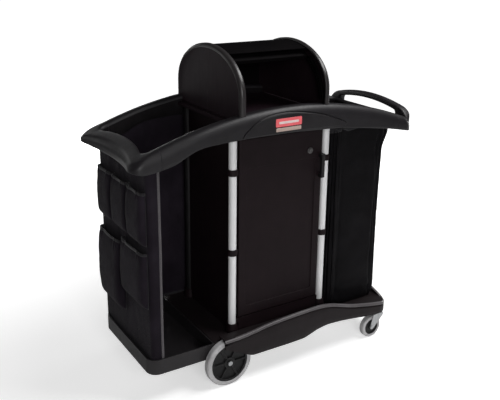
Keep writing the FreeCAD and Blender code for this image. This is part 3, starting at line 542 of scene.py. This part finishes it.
def rim_section(outer, inner, mirror=1):
    """One closed section of the hollow rim, from the outer lower edge over the top and back underneath."""
    o = Vector((outer[0], outer[1] * mirror, 0))
    n = Vector((inner[0], inner[1] * mirror, 0))
    width = (n - o).length
    across = (n - o) / width
    top = rim_top(o.x)
    foot = rim_low(o.x)
    rise = min(RIM_RISE, 0.6 * (top - foot))
    shoulder = top - rise
    chamfer = 0.0015

    def at(d, drop=None, z=None):
        """The point a distance d inwards, at height z or so far below the top."""
        p = o + across * d
        height = z if z is not None else rim_top(p.x) - drop
        return Vector((p.x + X0, p.y, height))

    def reach(z):
        """Distance of height z along the outer face from the foot of its rounding."""
        return z - shoulder if z <= shoulder else rise * asin(min(1.0, (z - shoulder) / rise))

    def face(s, inward=0.0):
        """The outer face's point at that distance, sunk inwards in the groove."""
        if s <= 0:
            return at(inward, z=shoulder + s)
        a = s / rise
        return at(ROUND_OUT * (1 - cos(a)) + inward, drop=rise * (1 - sin(a)))

    groove_z, groove_depth = groove(o.x, foot, top)
    below = reach(groove_z - GROOVE_HALF)
    above = reach(groove_z + GROOVE_HALF)
    points = [at(chamfer, z=foot), at(0, z=foot + chamfer)]
    points += [face(lerp(reach(foot + chamfer), below, i / 5)) for i in range(1, 6)]
    points += [face(lerp(below, above, t), groove_depth) for t in (0.3, 0.7)]
    points += [face(lerp(above, rise * pi / 2, i / 12)) for i in range(13)]
    points += [at(lerp(ROUND_OUT, width - ROUND_IN, t), drop=-0.0006) for t in (0.33, 0.66)]
    for i in range(7):
        a = radians(90 * i / 6)
        points.append(at(width - ROUND_IN * (1 - sin(a)), drop=ROUND_IN * (1 - cos(a))))
    low = rim_low((o + across * width).x)
    points += [at(width, z=lerp(rim_top(n.x) - ROUND_IN, low, 0.5)), at(width, z=low + chamfer),
               at(width - chamfer, z=low), at(width - RIM_WALL, z=low),
               at(width - RIM_WALL, drop=ROUND_IN + RIM_WALL),
               at(width - RIM_WALL - ROUND_IN, drop=RIM_WALL + 0.001),
               at(RIM_WALL + ROUND_OUT, drop=RIM_WALL + 0.001),
               at(RIM_WALL + GROOVE_DEPTH + 0.003, drop=rise * 0.75 + RIM_WALL),
               at(RIM_WALL, z=lerp(foot, shoulder, 0.7)), at(RIM_WALL, z=foot)]
    return points


def make_rim():
    left, front, right = rim_stations()
    sections = {
        "rim_left_end": [rim_section(*s, -1) for s in left[:0:-1]] + [rim_section(*s) for s in left],
        "rim_front_rail": [rim_section(*s) for s in front],
        "rim_back_rail": [rim_section(*s, -1) for s in front],
        "rim_right_end": [rim_section(*s) for s in right] + [rim_section(*s, -1) for s in right[-2::-1]],
    }
    for node, rows in sections.items():
        shell = moulding(node + "_shell", rows, 50, "rim_plastic", node)
        width = len(rows[0])
        # the inner walls and underside take the darker copy of the rim's plastic: painted shade
        second_material(shell, "rim_inner_painted_shade_plastic", len(rows) - 1, width, range(INNER_WALL_FROM, width))


# ---- push handle ----
HANDLE_X = 0.609  # middle of the grip
HANDLE_HALF_X = 0.018
HANDLE_EDGE = 0.0095  # rounding of its long edges
HANDLE_CROWN = 1.073
SHOULDER_Y, SHOULDER_Z = 0.205, 1.049
FOOT_Y, FOOT_Z = 0.271, 0.966
HANDLE_DEPTH = 0.024
WINDOW_Y = 0.188  # half width of the opening under the grip, and its corners' radius
WINDOW_R = 0.016
BLOCK_CORNER = (0.583, 0.2265, 0.044)  # plan corner of the blocks, just inside the rim's


def handle_outline(t):
    """The grip's outer and inner points (y, z) at t, from 0 at its crown to 1 at its block's foot."""
    grip_share, corner_share, foot_share = 0.5, 0.4, 0.1
    radius = arc_radius(SHOULDER_Y, HANDLE_CROWN - SHOULDER_Z)
    inner_radius = radius - HANDLE_DEPTH
    start = asin(SHOULDER_Y / radius)
    centre_z = HANDLE_CROWN - radius
    window_end = WINDOW_Y - WINDOW_R
    if t < grip_share:
        y = SHOULDER_Y * t / grip_share
        inner_y = window_end * t / grip_share
        return ((y, centre_z + sqrt(radius ** 2 - y ** 2)),
                (inner_y, centre_z + sqrt(inner_radius ** 2 - inner_y ** 2)))
    corner_r = (FOOT_Y - SHOULDER_Y) / (1 - sin(start))
    u = min(1.0, (t - grip_share) / corner_share)
    a = lerp(start, pi / 2, u)
    b = u * pi / 2
    drop = max(0.0, (t - grip_share - corner_share) / foot_share)
    y = SHOULDER_Y + corner_r * (sin(a) - sin(start))
    z = SHOULDER_Z - corner_r * (cos(start) - cos(a))
    inner_y = window_end + WINDOW_R * sin(b)
    inner_z = centre_z + sqrt(inner_radius ** 2 - window_end ** 2) - WINDOW_R * (1 - cos(b))
    inner_z -= 0.02 * max(0, u - 0.5)
    return (y, lerp(z, FOOT_Z, drop)), (inner_y, lerp(inner_z, FOOT_Z + 0.006, drop))


def make_push_handle():
    """The arched grip over the rim's right end, on a block at each corner."""
    corner_x, corner_y, corner_r = BLOCK_CORNER
    steps = 44
    around = 14
    rows = []
    for i in range(-steps, steps + 1):
        side = -1 if i < 0 else 1
        (y0, z0), (y1, z1) = handle_outline(abs(i) / steps)
        length = hypot(y1 - y0, z1 - z0)
        row = []
        for x_side, order in ((1, range(around + 1)), (-1, range(around, -1, -1))):
            for k in order:
                w = 0.5 * (1 - cos(pi * k / around))
                edge = min(HANDLE_EDGE, w * length, (1 - w) * length)
                off = HANDLE_HALF_X - HANDLE_EDGE + sqrt(HANDLE_EDGE ** 2 - (HANDLE_EDGE - edge) ** 2)
                y = lerp(y0, y1, w)
                past = max(0.0, y - corner_y) / corner_r
                limit = corner_x + corner_r * sqrt(max(0.0, 1 - past ** 2))
                x = min(HANDLE_X + x_side * off, limit - 0.0005 * (1 - x_side))
                row.append(Vector((x + X0, side * y, lerp(z0, z1, w))))
        rows.append(row)
    moulding("push_handle", rows, 55, "rim_plastic", "rim_right_end")


# ---- name panels and badge ----
def make_fascia(name, node, mirror):
    """The raised name panel on a rail: a flat plate with a softened edge, set in the rail's groove."""
    foot = np.polyfit([FASCIA_LEFT, 0.020, FASCIA_RIGHT], [1.027, 1.029, 1.022], 2)
    front = RIM_FACE + 0.002
    back = RIM_FACE - 0.0045
    quarter = [radians(22.5 * k) for k in range(5)]
    rows = []
    for x, crown in FASCIA_CROWN:
        z0 = float(np.polyval(foot, x))
        z1 = max(crown, z0 + 0.0004)
        r = min(0.0022, 0.35 * (z1 - z0))
        section = [(back, z0)]
        section += [(front - r + r * sin(a), z0 + r - r * cos(a)) for a in quarter]
        section += [(front, lerp(z0 + r, z1 - r, t)) for t in (0.25, 0.5, 0.75)]
        section += [(front - r + r * sin(a), z1 - r + r * cos(a)) for a in quarter[::-1]]
        section.append((back, z1))
        rows.append([(x + X0, mirror * y, z) for y, z in section])
    moulding(name, rows, 40, "fascia_plastic", node)


def rounded_plate(name, x0, x1, y_front, z0, z1, depth, radius, material):
    """A thin plate with rounded corners and a softened front edge, facing -Y."""
    corners = ((x1 - radius, z1 - radius, 0), (x0 + radius, z1 - radius, 90),
               (x0 + radius, z0 + radius, 180), (x1 - radius, z0 + radius, 270))
    rows = []
    for inset, back in ((0.0, depth), (0.0, depth * 0.35), (depth * 0.3, 0.0), (radius * 1.2, 0.0)):
        r = max(radius - inset, 0.0002)
        row = []
        for cx, cz, start in corners:
            for k in range(6):
                a = radians(start + 18 * k)
                row.append((cx + r * cos(a) + X0, y_front + back, cz + r * sin(a)))
        rows.append(row)
    moulding(name, rows, 40, material)


make_rim()
make_push_handle()
make_fascia("rim_front_fascia_plate", "rim_front_fascia", -1)
make_fascia("rim_back_fascia_plate", "rim_back_fascia", 1)
rounded_plate("badge_strip", -0.086, 0.029, -0.2772, 1.0345, 1.0488, 0.0012, 0.003, "badge_cream")
rounded_plate("badge_band", -0.074, 0.017, -0.2775, 1.0640, 1.0735, 0.0006, 0.004, "badge_pale")


# ---- hood ----
HOOD_X = -0.026  # the hood's middle, and half its length
HOOD_HALF = 0.2065
SPRING = 1.172  # where its legs end and its half ellipse starts
HOOD_A, HOOD_B = 0.258, 0.172  # the ends' half width, and their rise above the legs
HOOD_LOW = 1.083
BAND_INSIDE = 0.007  # the band's inner face, from its outer one
BAND_ROUND = 0.013
PLATE_INSET = BAND_ROUND + 0.0034
PLATE_BACK = 0.003  # the flat plate, behind the band's face
ROOF_A, ROOF_B = 0.2508, 0.1648
ROOF_THICK = 0.006
ROOF_FRONT_Y = 0.115
ROOF_LOW = 1.112
ROOF_STEPS = 96
SLAT_STEPS = 4  # steps of the roof per slat, and how many steps have slats
SLATTED_STEPS = 33
SLAT_DEPTH = 0.0016


def arch_loop(x, a, b):
    """Points up the front leg, over the half ellipse and down the back leg, at one x."""
    steps = 56
    legs = 5
    x += X0 + HOOD_X
    points = [Vector((x, -a, lerp(HOOD_LOW, SPRING, i / legs))) for i in range(legs)]
    for i in range(steps + 1):
        t = pi * i / steps
        points.append(Vector((x, -a * cos(t), SPRING + b * sin(t))))
    return points + [Vector((x, a, lerp(SPRING, HOOD_LOW, (i + 1) / legs))) for i in range(legs)]


def make_hood_end(node, side):
    """A moulded end: a proud rounded band round a flat plate, closed on both faces."""
    x = HOOD_HALF
    # distance out from the hood's middle, and inwards from the band's outer face
    band = [(x - 0.024, BAND_INSIDE), (x - 0.024, 0.003), (x - 0.0232, 0.0009), (x - 0.0215, 0.0)]
    for k in range(9):
        a = radians(90 * k / 8)
        band.append((x - BAND_ROUND + BAND_ROUND * sin(a), BAND_ROUND - BAND_ROUND * cos(a)))
    band += [(x - 0.0004, BAND_ROUND + 0.0016), (x - 0.0016, BAND_ROUND + 0.0028),
             (x - PLATE_BACK, PLATE_INSET)]
    rows = [arch_loop(side * out, HOOD_A - inset, HOOD_B - inset) for out, inset in band]
    plate = [(k, PLATE_INSET, PLATE_BACK) for k in (0.9, 0.66, 0.33, 0.0)]
    plate += [(k, BAND_INSIDE + 0.0001, back)
              for k, back in ((0, 0.01), (0.5, 0.01), (0.955, 0.01), (1, 0.012))]
    for k, inset, back in plate:
        rows.append(arch_loop(side * (x - back), (HOOD_A - inset) * k, (HOOD_B - inset) * k))
    shell = grid_piece(node + "_shell", rows, close_rows=True)
    keep_edges(shell, 42)
    dress(shell, "hood_plastic", node)
    width = len(rows[0]) - 1
    # the band's faces take the lighter copy: a painted highlight along the band
    second_material(shell, "hood_band_highlight_plastic", len(band) - 1, width, range(width))


def make_hood_roof():
    """The roof's shell with a rolled front edge and shallow slats near it."""
    t_front = acos(ROOF_FRONT_Y / ROOF_A)
    half = HOOD_HALF - 0.0101
    outer, inner = [], []
    for i in range(ROOF_STEPS + 1):
        t = lerp(t_front, pi, i / ROOF_STEPS)
        dip = SLAT_DEPTH * (0.5 - 0.5 * cos(2 * pi * i / SLAT_STEPS)) if i < SLATTED_STEPS else 0.0
        for line, inset in ((outer, dip), (inner, ROOF_THICK)):
            line.append((-(ROOF_A - inset) * cos(t), SPRING + (ROOF_B - inset) * sin(t)))
    for k in (1, 2, 3):
        z = lerp(SPRING, ROOF_LOW, k / 3)
        outer.append((ROOF_A, z))
        inner.append((ROOF_A - ROOF_THICK, z))
    nose = []
    (oy, oz), (iy, iz) = outer[0], inner[0]
    for s in (0.2, 0.4, 0.6, 0.8):
        bulge = 0.003 * sin(pi * s)
        nose.append((lerp(iy, oy, s) - bulge * 0.8, lerp(iz, oz, s) - bulge * 0.6))
    section = nose + outer + inner[::-1]
    xs = [half * k + X0 + HOOD_X for k in (-1, -0.66, -0.33, 0.0, 0.33, 0.66, 1)]
    rows = [[(x, y, z) for y, z in section] for x in xs]
    moulding("hood_roof_shell", rows, 40, "shutter_plastic", "hood_roof")


make_hood_end("hood_left_end", -1)
make_hood_end("hood_right_end", 1)
make_hood_roof()


# ---- skirt ----
SKIRT_LEFT = -0.306
SKIRT_TURN = 0.502  # where the sides turn into the right end's corners
SKIRT_HALF = 0.2795
SKIRT_R = 0.060
SKIRT_WALL = 0.006
BEAD = 0.0072  # radius of the rolled top edge
SKIRT_TOP = [(-0.306, 0.209), (-0.237, 0.210), (-0.165, 0.219), (-0.093, 0.230), (0.0, 0.237),
             (0.090, 0.241), (0.163, 0.242), (0.225, 0.235), (0.339, 0.199), (0.444, 0.178),
             (0.500, 0.169), (0.562, 0.160)]
SKIRT_LOW = [(-0.306, 0.172), (-0.178, 0.108), (0.0, 0.108), (0.085, 0.110), (0.150, 0.132),
             (0.206, 0.141), (0.284, 0.137), (0.364, 0.128), (0.441, 0.117), (0.562, 0.114)]
LIP_FROM, LIP_TO = 8, 17  # the section's points round the rolled edge and the ledge behind it


def end_arch(y):
    """The skirt's top over the right end, as a low arch."""
    radius = arc_radius(0.262, 0.055)
    return 0.207 - radius + sqrt(max(radius ** 2 - y * y, 0))


def skirt_section(x, y, normal):
    """One closed section of the skirt: outer face, rolled top edge, ledge, inner face."""
    low = eased(x, SKIRT_LOW, 0.014) if x < 0.5 else interp(x, SKIRT_LOW)
    top = eased(x, SKIRT_TOP, 0.03)
    if x > 0.50:
        top = max(top, end_arch(y))
    n = Vector((*normal, 0))
    base = Vector((x + X0, y, 0))

    def at(inward, z):
        p = base - n * inward
        return Vector((p.x, p.y, z))

    points = [at(0.0012, low), at(0, low + 0.0012), at(0, lerp(low, top, 0.3)),
              at(0, lerp(low, top, 0.6)), at(0, top - 0.0205), at(0.0006, top - 0.019),
              at(0.0034, top - 0.0165), at(0.0036, top - 0.0145)]
    for i in range(9):
        a = radians(lerp(-65, 90, i / 8))
        points.append(at(0.0062 - BEAD * cos(a), top - BEAD + BEAD * sin(a)))
    points += [at(0.0105, top), at(0.0135, top - 0.0012), at(0.0145, top - 0.004), at(0.0145, top - 0.011),
               at(0.0125, top - 0.013), at(SKIRT_WALL, top - 0.015), at(SKIRT_WALL, lerp(low, top, 0.5)),
               at(SKIRT_WALL, low + 0.001), at(SKIRT_WALL - 0.0012, low)]
    return points


def make_skirt():
    """The skirt along the front, round the right end and along the back, open at the left."""
    side_steps, corner_steps, end_steps = 96, 16, 24
    straight = SKIRT_HALF - SKIRT_R
    front = []
    for i in range(side_steps + 1):
        front.append((lerp(SKIRT_LEFT, SKIRT_TURN, i / side_steps), -SKIRT_HALF, (0, -1)))
    for i in range(1, corner_steps + 1):
        a = radians(90 * i / corner_steps)
        s, c = sin(a), cos(a)
        front.append((SKIRT_TURN + SKIRT_R * s, -straight - SKIRT_R * c, (s, -c)))
    ys = [lerp(-straight, straight, i / end_steps) for i in range(1, end_steps)]
    end = [(SKIRT_TURN + SKIRT_R, y, (1, 0)) for y in ys]
    back = [(x, -y, (nx, -ny)) for x, y, (nx, ny) in front[::-1]]
    rows = [skirt_section(*station) for station in front + end + back]
    shell = moulding("base_skirt_shell", rows, 48, "base_plastic", "base_skirt")
    # the rolled edge and the ledge behind it take the lighter copy: a painted highlight
    second_material(shell, "skirt_lip_painted_highlight", len(rows) - 1, len(rows[0]), range(LIP_FROM, LIP_TO + 1))


make_skirt()


# ---- sewn fabric ----
SHEET_THICK = 0.0022


def cloth(name, rows, node, thickness=SHEET_THICK):
    """An open sheet of the organiser's fabric."""
    sheet = grid_piece(name, rows)
    thicken(sheet, thickness)
    return dress(sheet, "organiser_nylon", node)


def ribbon(name, path, flat_way, width=0.011, thickness=0.0042, material="binding_tape"):
    """A folded binding tape along a path: a flattened tube whose long side lies along flat_way."""
    rows = []
    last = len(path) - 1
    for i, p in enumerate(path):
        ahead = (path[min(i + 1, last)] - path[max(i - 1, 0)]).normalized()
        side = (flat_way - ahead * flat_way.dot(ahead)).normalized()
        up = ahead.cross(side).normalized()
        row = []
        for j in range(12):
            t = 2 * pi * j / 12
            row.append(p + side * (width / 2 * signed_power(cos(t), 0.6)) +
                       up * (thickness / 2 * signed_power(sin(t), 0.8)))
        rows.append(row)
    return dress(grid_piece(name, rows, close_cols=True, caps="first last"), material)


def stitches(name, path, up):
    """A row of short raised stitches along a path."""
    pitch, length, radius = 0.0042, 0.0028, 0.0005
    sides = 6
    rings = ((-0.5, 0.3), (-0.3, 1.0), (0.3, 1.0), (0.5, 0.3))  # place along the stitch, and fullness
    verts, faces = [], []
    travelled = 0.0
    next_at = pitch / 2
    for a, b in zip(path, path[1:]):
        run = (b - a).length
        if run < 1e-7:
            continue
        ahead = (b - a) / run
        side = ahead.cross(up).normalized()
        while travelled + run >= next_at:
            mid = a + ahead * (next_at - travelled)
            start = len(verts)
            for s, w in rings:
                centre = mid + ahead * (length * s) + up * (radius * (0.5 * w - 0.2))
                for k in range(sides):
                    t = pi * 2 * k / sides
                    verts.append(centre + side * (radius * w * cos(t)) + up * (radius * w * sin(t)))
            for q in range(len(rings) - 1):
                for k in range(sides):
                    a0 = start + q * sides + k
                    a1 = start + q * sides + (k + 1) % sides
                    faces.append((a0, a1, a1 + sides, a0 + sides))
            faces.append(tuple(range(start + sides - 1, start - 1, -1)))
            faces.append(tuple(range(len(verts) - sides, len(verts))))
            next_at += pitch
        travelled += run
    thread = new_object(name, verts, faces)
    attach(thread, "cart")
    dress(thread, "binding_tape")


# ---- organiser ----
WALL_X = -0.598  # the organiser's sheet, across the end
WALL_LOW = 0.134
WALL_HIGH = 0.950
WALL_HALF = 0.224  # from the middle plane to the sheet's back edge, and to its run along the front
WALL_R = 0.018
WALL_FLAT = 2 * WALL_HALF - WALL_R
WALL_BEND = WALL_R * pi / 2
WALL_RETURN = 0.028
WALL_LENGTH = WALL_FLAT + WALL_BEND + WALL_RETURN
HANG_PITCH = 0.114  # from one fixing under the rim to the next
# Each pocket's sides, foot, mouth and depth.
POCKETS = [(-0.213, -0.078, 0.655, 0.860, 0.033), (-0.069, 0.069, 0.655, 0.860, 0.033),
           (0.078, 0.213, 0.655, 0.860, 0.033), (-0.213, -0.006, 0.400, 0.625, 0.037),
           (0.006, 0.213, 0.300, 0.600, 0.043)]


def wall_point(s, z):
    """The organiser's sheet: s runs from its back edge across the end and round the front corner."""
    sway = 0.0035 * noise_at((0, s, z), 5.0, 1) + 0.0016 * noise_at((0, s * 2.0, z * 0.8), 17.0, 2)
    sway += 0.002 * near(WALL_HIGH - z, 0.09) * sin(s * 2 * pi / HANG_PITCH)
    sway *= min(1.0, s / 0.05)
    if s < WALL_FLAT:
        return Vector((WALL_X + X0 + sway, WALL_HALF - s, z))
    if s < WALL_FLAT + WALL_BEND:
        a = (s - WALL_FLAT) / WALL_R
        r = sway - WALL_R
        return Vector((WALL_X + X0 + WALL_R + r * cos(a), WALL_R - WALL_HALF + r * sin(a), z))
    run = s - WALL_FLAT - WALL_BEND
    return Vector((WALL_X + X0 + WALL_R + run, -WALL_HALF + sway * 0.8, z))


def make_organiser():
    across, up = 132, 150
    lengths = [WALL_LENGTH * j / across for j in range(across + 1)]
    rows = [[wall_point(s, lerp(WALL_LOW, WALL_HIGH, i / up)) for s in lengths] for i in range(up + 1)]
    sheet = cloth("organiser_sheet", rows, "organiser_panel")
    foot = [wall_point(s, WALL_LOW + 0.004) for s in lengths]
    heights = [lerp(WALL_LOW, WALL_HIGH - 0.008, i / 120) for i in range(121)]
    front = [wall_point(WALL_LENGTH - 0.001, z) for z in heights]
    back = [wall_point(0.001, z) for z in heights]
    bind_low = ribbon("organiser_binding_low", foot, UP)
    # the front edge's lighter tape is a painted highlight
    bind_front = ribbon("organiser_binding_front", front, Vector((1, 0, 0)), material="organiser_edge_highlight_tape")
    bind_back = ribbon("organiser_binding_back", back, Vector((0, 1, 0)))


def make_pocket(index, y0, y1, z0, z1, depth):
    """A gusseted pocket: one sheet round the front, fuller at the foot, gathered by elastic at the mouth."""
    ups = 46
    rounds = 72
    wall = WALL_X + X0 - SHEET_THICK
    mid = (y0 + y1) / 2
    half = (y1 - y0) / 2

    def section(z):
        t = (z - z0) / (z1 - z0)
        foot = clamp(t / 0.16)
        round_foot = sqrt(max(0.0, 1 - (1 - foot) ** 2))
        bulge = 0.80 + 0.20 * sin(pi * min(1.0, t * 1.1))
        d = (depth - 0.002) * round_foot * bulge * (1.0 - 0.22 * near(1 - t, 0.07))
        h = half * (0.94 + 0.06 * round_foot) * (1 - 0.03 * near(1 - t, 0.08))
        row = []
        for j in range(rounds + 1):
            a = pi * j / rounds
            s = sin(a)
            y = mid - h * signed_power(cos(a), 0.32)
            x = d * abs(s) ** 0.42
            gather = 0.0021 * sin(a * 26 + index) * near(1 - t, 0.10) * s
            wrinkle = 0.0030 * noise_at((index, y * 1.4, z), 16.0, 3 + index) * s * (0.4 + 0.6 * t)
            crease = 0.0022 * abs(noise_at((index, y + z * 0.6, z * 0.4), 30.0, 9 + index)) * s
            x = max(0.0, x + (gather + wrinkle - crease) * min(1.0, foot * 1.5))
            row.append(Vector((wall - x, y, z)))
        return row

    rows = [section(lerp(z0 + 0.001, z1 - 0.004, (i / ups) ** 0.85)) for i in range(ups + 1)]
    cloth("organiser_pocket_%d" % index, rows, "organiser_pockets", 0.0018)
    mouth = [p + UP * 0.001 for p in rows[-1]]
    ribbon("pocket_binding_%d" % index, mouth, UP, 0.012, 0.0046)
    seam = [p + Vector((-0.0022, 0, -0.0035)) for p in rows[-1][6:-6]]
    stitches("pocket_stitches_%d" % index, seam, Vector((-1, 0, 0)))
    for edge, inward in ((0, 0.0015), (-1, -0.0015)):
        side_path = [row[edge] + Vector((-0.0012, inward, 0)) for row in rows]
        name = "pocket_side_seam_%d_%d" % (index, abs(edge))
        ribbon(name, side_path, Vector((0, 1, 0)), 0.007, 0.0026)


make_organiser()
for number, values in enumerate(POCKETS, 1):
    make_pocket(number, *values)


# ---- back panel of the linen bay ----
BAY_LEFT = -0.5945
BAY_WIDTH = 0.4075
DECK_X = -0.3405  # left of this the panel reaches the tray, and right of it only the deck
DECK_FOOT = 0.197
BAY_TOP = [(-0.596, 0.950), (-0.560, 0.962), (-0.500, 0.980), (-0.455, 1.005), (-0.405, 1.018),
           (-0.330, 1.027), (-0.245, 1.031), (-0.187, 1.032)]


def make_back_panel():
    across, up = 112, 130
    rows = []
    for i in range(up + 1):
        t = i / up
        row = []
        for j in range(across + 1):
            x = BAY_LEFT + BAY_WIDTH * j / across
            z = lerp(WALL_LOW if x < DECK_X else DECK_FOOT, interp(x, BAY_TOP), t)
            sway = 0.006 * sin(pi * t) * noise_at((x, 0, z), 4.0, 21)
            fold = 0.0030 * noise_at((x * 2.4, 0, z * 0.5), 14.0, 22) * (0.3 + 0.7 * t)
            pull = 0.0022 * sin(x * 2 * pi / 0.085) * near(1 - t, 0.08)
            row.append(Vector((x + X0, WALL_HALF + max(-0.0035, min(0.0035, sway + fold + pull)), z)))
        rows.append(row)
    sheet = cloth("bay_back_sheet", rows, "bay_back_panel")
    bind = ribbon("bay_back_binding", [p + UP * 0.004 for p in rows[0]], UP)


make_back_panel()


# ---- linen bag ----
BAG_X = 0.396  # the bag's middle, and its half sizes
BAG_A, BAG_B = 0.1435, 0.2005
BAG_SQUARE = 10.0  # power of its superellipse plan
BAG_LOW = 0.168
BAG_HEIGHT = 0.832
BAG_AROUND = 288
BAG_RINGS = 130
CLIP_XS = (0.300, 0.390, 0.480)


def bag_ring(z):
    """One ring of the hanging bag: gathers at the mouth, slow folds down the sides, a slumped foot."""
    t = (z - BAG_LOW) / BAG_HEIGHT
    size = (1 - 0.055 * near(t, 0.03)) * (1 - 0.018 * sin(pi * min(1.0, t * 1.02)))
    flare_up = clamp((z - 0.865) / 0.10)
    tuck = clamp((z - 0.955) / 0.035)
    ring = []
    for j in range(BAG_AROUND):
        a = 2 * pi * j / BAG_AROUND
        c, s = cos(a), sin(a)
        x = BAG_A * size * signed_power(c, 2 / BAG_SQUARE)
        y = BAG_B * size * signed_power(s, 2 / BAG_SQUARE)
        side = Vector((x / BAG_A, y / BAG_B * 0.8, 0)).normalized()
        gather = 0.0046 * sin(a * 0.27 * 2 * pi / 0.040 + 0.9 * sin(a * 3)) * near(1 - t, 0.20)
        lean = noise_at((c * 1.1, s * 1.1, z * 0.35), 3.4, 31)
        folds = 0.0150 * lean + 0.0085 * noise_at((c * 2.2, s * 2.2, z * 0.5), 4.6, 32)
        crumple = 0.0030 * noise_at((c * 0.9, s * 0.9, z * 2.6), 6.5, 33)
        slump = 0.0055 * sin(t * 70 + 10 * lean) * near(t, 0.09)
        push = min(gather + folds + crumple + slump, 0.0035)
        flare_side = clamp((x / BAG_A - 0.35) / 0.65) * clamp((abs(y) / BAG_B - 0.45) / 0.5)
        flare = 0.031 * flare_up ** 2 * (3 - 2 * flare_up) * flare_side * (1 - 0.4 * tuck)
        ring.append(Vector((BAG_X + x + side.x * push + flare + X0, y + side.y * push, z)))
    return ring


def make_bag():
    rows = [bag_ring(lerp(BAG_LOW + 0.0005, 0.998, i / BAG_RINGS)) for i in range(BAG_RINGS + 1)]
    hem_drop = []
    for p in rows[-1]:
        from_clip = min(abs(p.x - X0 - x) for x in CLIP_XS)
        on_side = 1.0 if abs(p.y) > 0.15 else 0.5
        hem_drop.append(0.014 * on_side * (1 - near(from_clip, 0.022)))
    for i in range(100, BAG_RINGS + 1):
        for p, drop in zip(rows[i], hem_drop):
            p.z -= drop * ((i - 100) / 30) ** 2
    centre = Vector((BAG_X + X0, 0, BAG_LOW))
    floor = [[centre + (p - centre) * k + UP * 0.0005 for p in rows[0]] for k in (0.02, 0.2, 0.5, 0.8)]
    bag = grid_piece("linen_bag_cloth", floor + rows, close_cols=True, caps="first")
    thicken(bag, 0.0016)
    dress(bag, "bag_nylon", "linen_bag")
    hem = [p - UP * 0.006 for p in rows[-1] + rows[-1][:1]]
    ribbon("linen_bag_hem", hem, UP, 0.024, 0.0044)


make_bag()


# ---- floor, light, camera ----
def add_light(name, place, size_x, size_y, power, target=(0.0, 0.0, 0.7)):
    light = bpy.data.lights.new(name, "AREA")
    light.shape = "RECTANGLE"
    light.size = size_x
    light.size_y = size_y
    light.energy = power
    obj = add_to_scene(name, light)
    obj.location = place
    obj.rotation_euler = (Vector(target) - Vector(place)).to_track_quat("-Z", "Y").to_euler()


def make_floor():
    """A pale floor that fades into the white backdrop with its distance from the cart."""
    half = 30.0
    corners = [(-half, -half, 0), (half, -half, 0), (half, half, 0), (-half, half, 0)]
    floor = new_object("floor", corners, [(0, 1, 2, 3)])
    m = Mat("floor_paint")
    clouds = m.noise(0.9)
    base = m.mix(m.ramp(clouds, 0.3, 0.7), (0.90, 0.90, 0.90), (0.93, 0.93, 0.93))
    distance = m.add("VectorMath", {0: m.coords}, operation="LENGTH").outputs["Value"]
    seen = m.nodes.new("ShaderNodeLightPath").outputs["Is Camera Ray"]
    glow = m.times(m.ramp(distance, 0.9, 3.0, 0.52, 1.0), seen)
    m.set(Specular_IOR_Level=0.0, Emission_Color=(1, 1, 1, 1), Emission_Strength=glow)
    floor.data.materials.append(m.out(base, m.ramp(clouds, 0.3, 0.7, 0.75, 0.85)))


def make_world():
    """White behind everything, and a dimmer room for the light that falls on the cart."""
    world = bpy.data.worlds.new("studio")
    bpy.context.scene.world = world
    world.use_nodes = True
    tree = world.node_tree
    tree.nodes.clear()
    out = tree.nodes.new("ShaderNodeOutputWorld")
    mix = tree.nodes.new("ShaderNodeMixShader")
    seen = tree.nodes.new("ShaderNodeLightPath")
    tree.links.new(seen.outputs["Is Camera Ray"], mix.inputs[0])
    for socket, strength in ((1, 0.05), (2, 1.0)):
        background = tree.nodes.new("ShaderNodeBackground")
        background.inputs["Color"].default_value = (1.0, 1.0, 1.0, 1.0)
        background.inputs["Strength"].default_value = strength
        tree.links.new(background.outputs[0], mix.inputs[socket])
    tree.links.new(mix.outputs[0], out.inputs[0])


def make_camera():
    camera = bpy.data.cameras.new("camera")
    camera.sensor_width = 36.0
    camera.lens = 52.03
    camera.shift_x = 0.0207
    camera.shift_y = -0.0465
    camera.clip_end = 60.0
    obj = add_to_scene("camera", camera)
    azimuth, elevation, roll = (radians(angle) for angle in (31.48, 17.78, 0.495))
    turn = Matrix.Rotation(-azimuth, 4, "Z") @ Matrix.Rotation(pi / 2 - elevation, 4, "X")
    place = Matrix.Translation((-1.5806 + X0, -2.4562, 1.7047))
    obj.matrix_world = place @ turn @ Matrix.Rotation(roll, 4, "Z")
    bpy.context.scene.camera = obj


make_floor()
make_world()
# Each light's place, its size, its power in watts and the point it faces.
add_light("top_box", (1.4, -0.9, 3.3), 1.9, 1.1, 66, (0.0, -0.1, 0.8))
add_light("key_box", (-1.3, -3.9, 2.0), 1.5, 1.5, 56)
add_light("back_box", (-3.2, 3.0, 2.2), 1.6, 1.6, 12, (0.1, 0.0, 0.7))
add_light("rear_box", (0.4, 4.2, 1.0), 2.0, 1.4, 70)
add_light("end_box", (4.2, 0.9, 1.0), 1.4, 1.4, 50)
make_camera()
bpy.context.scene.view_settings.view_transform = "Standard"
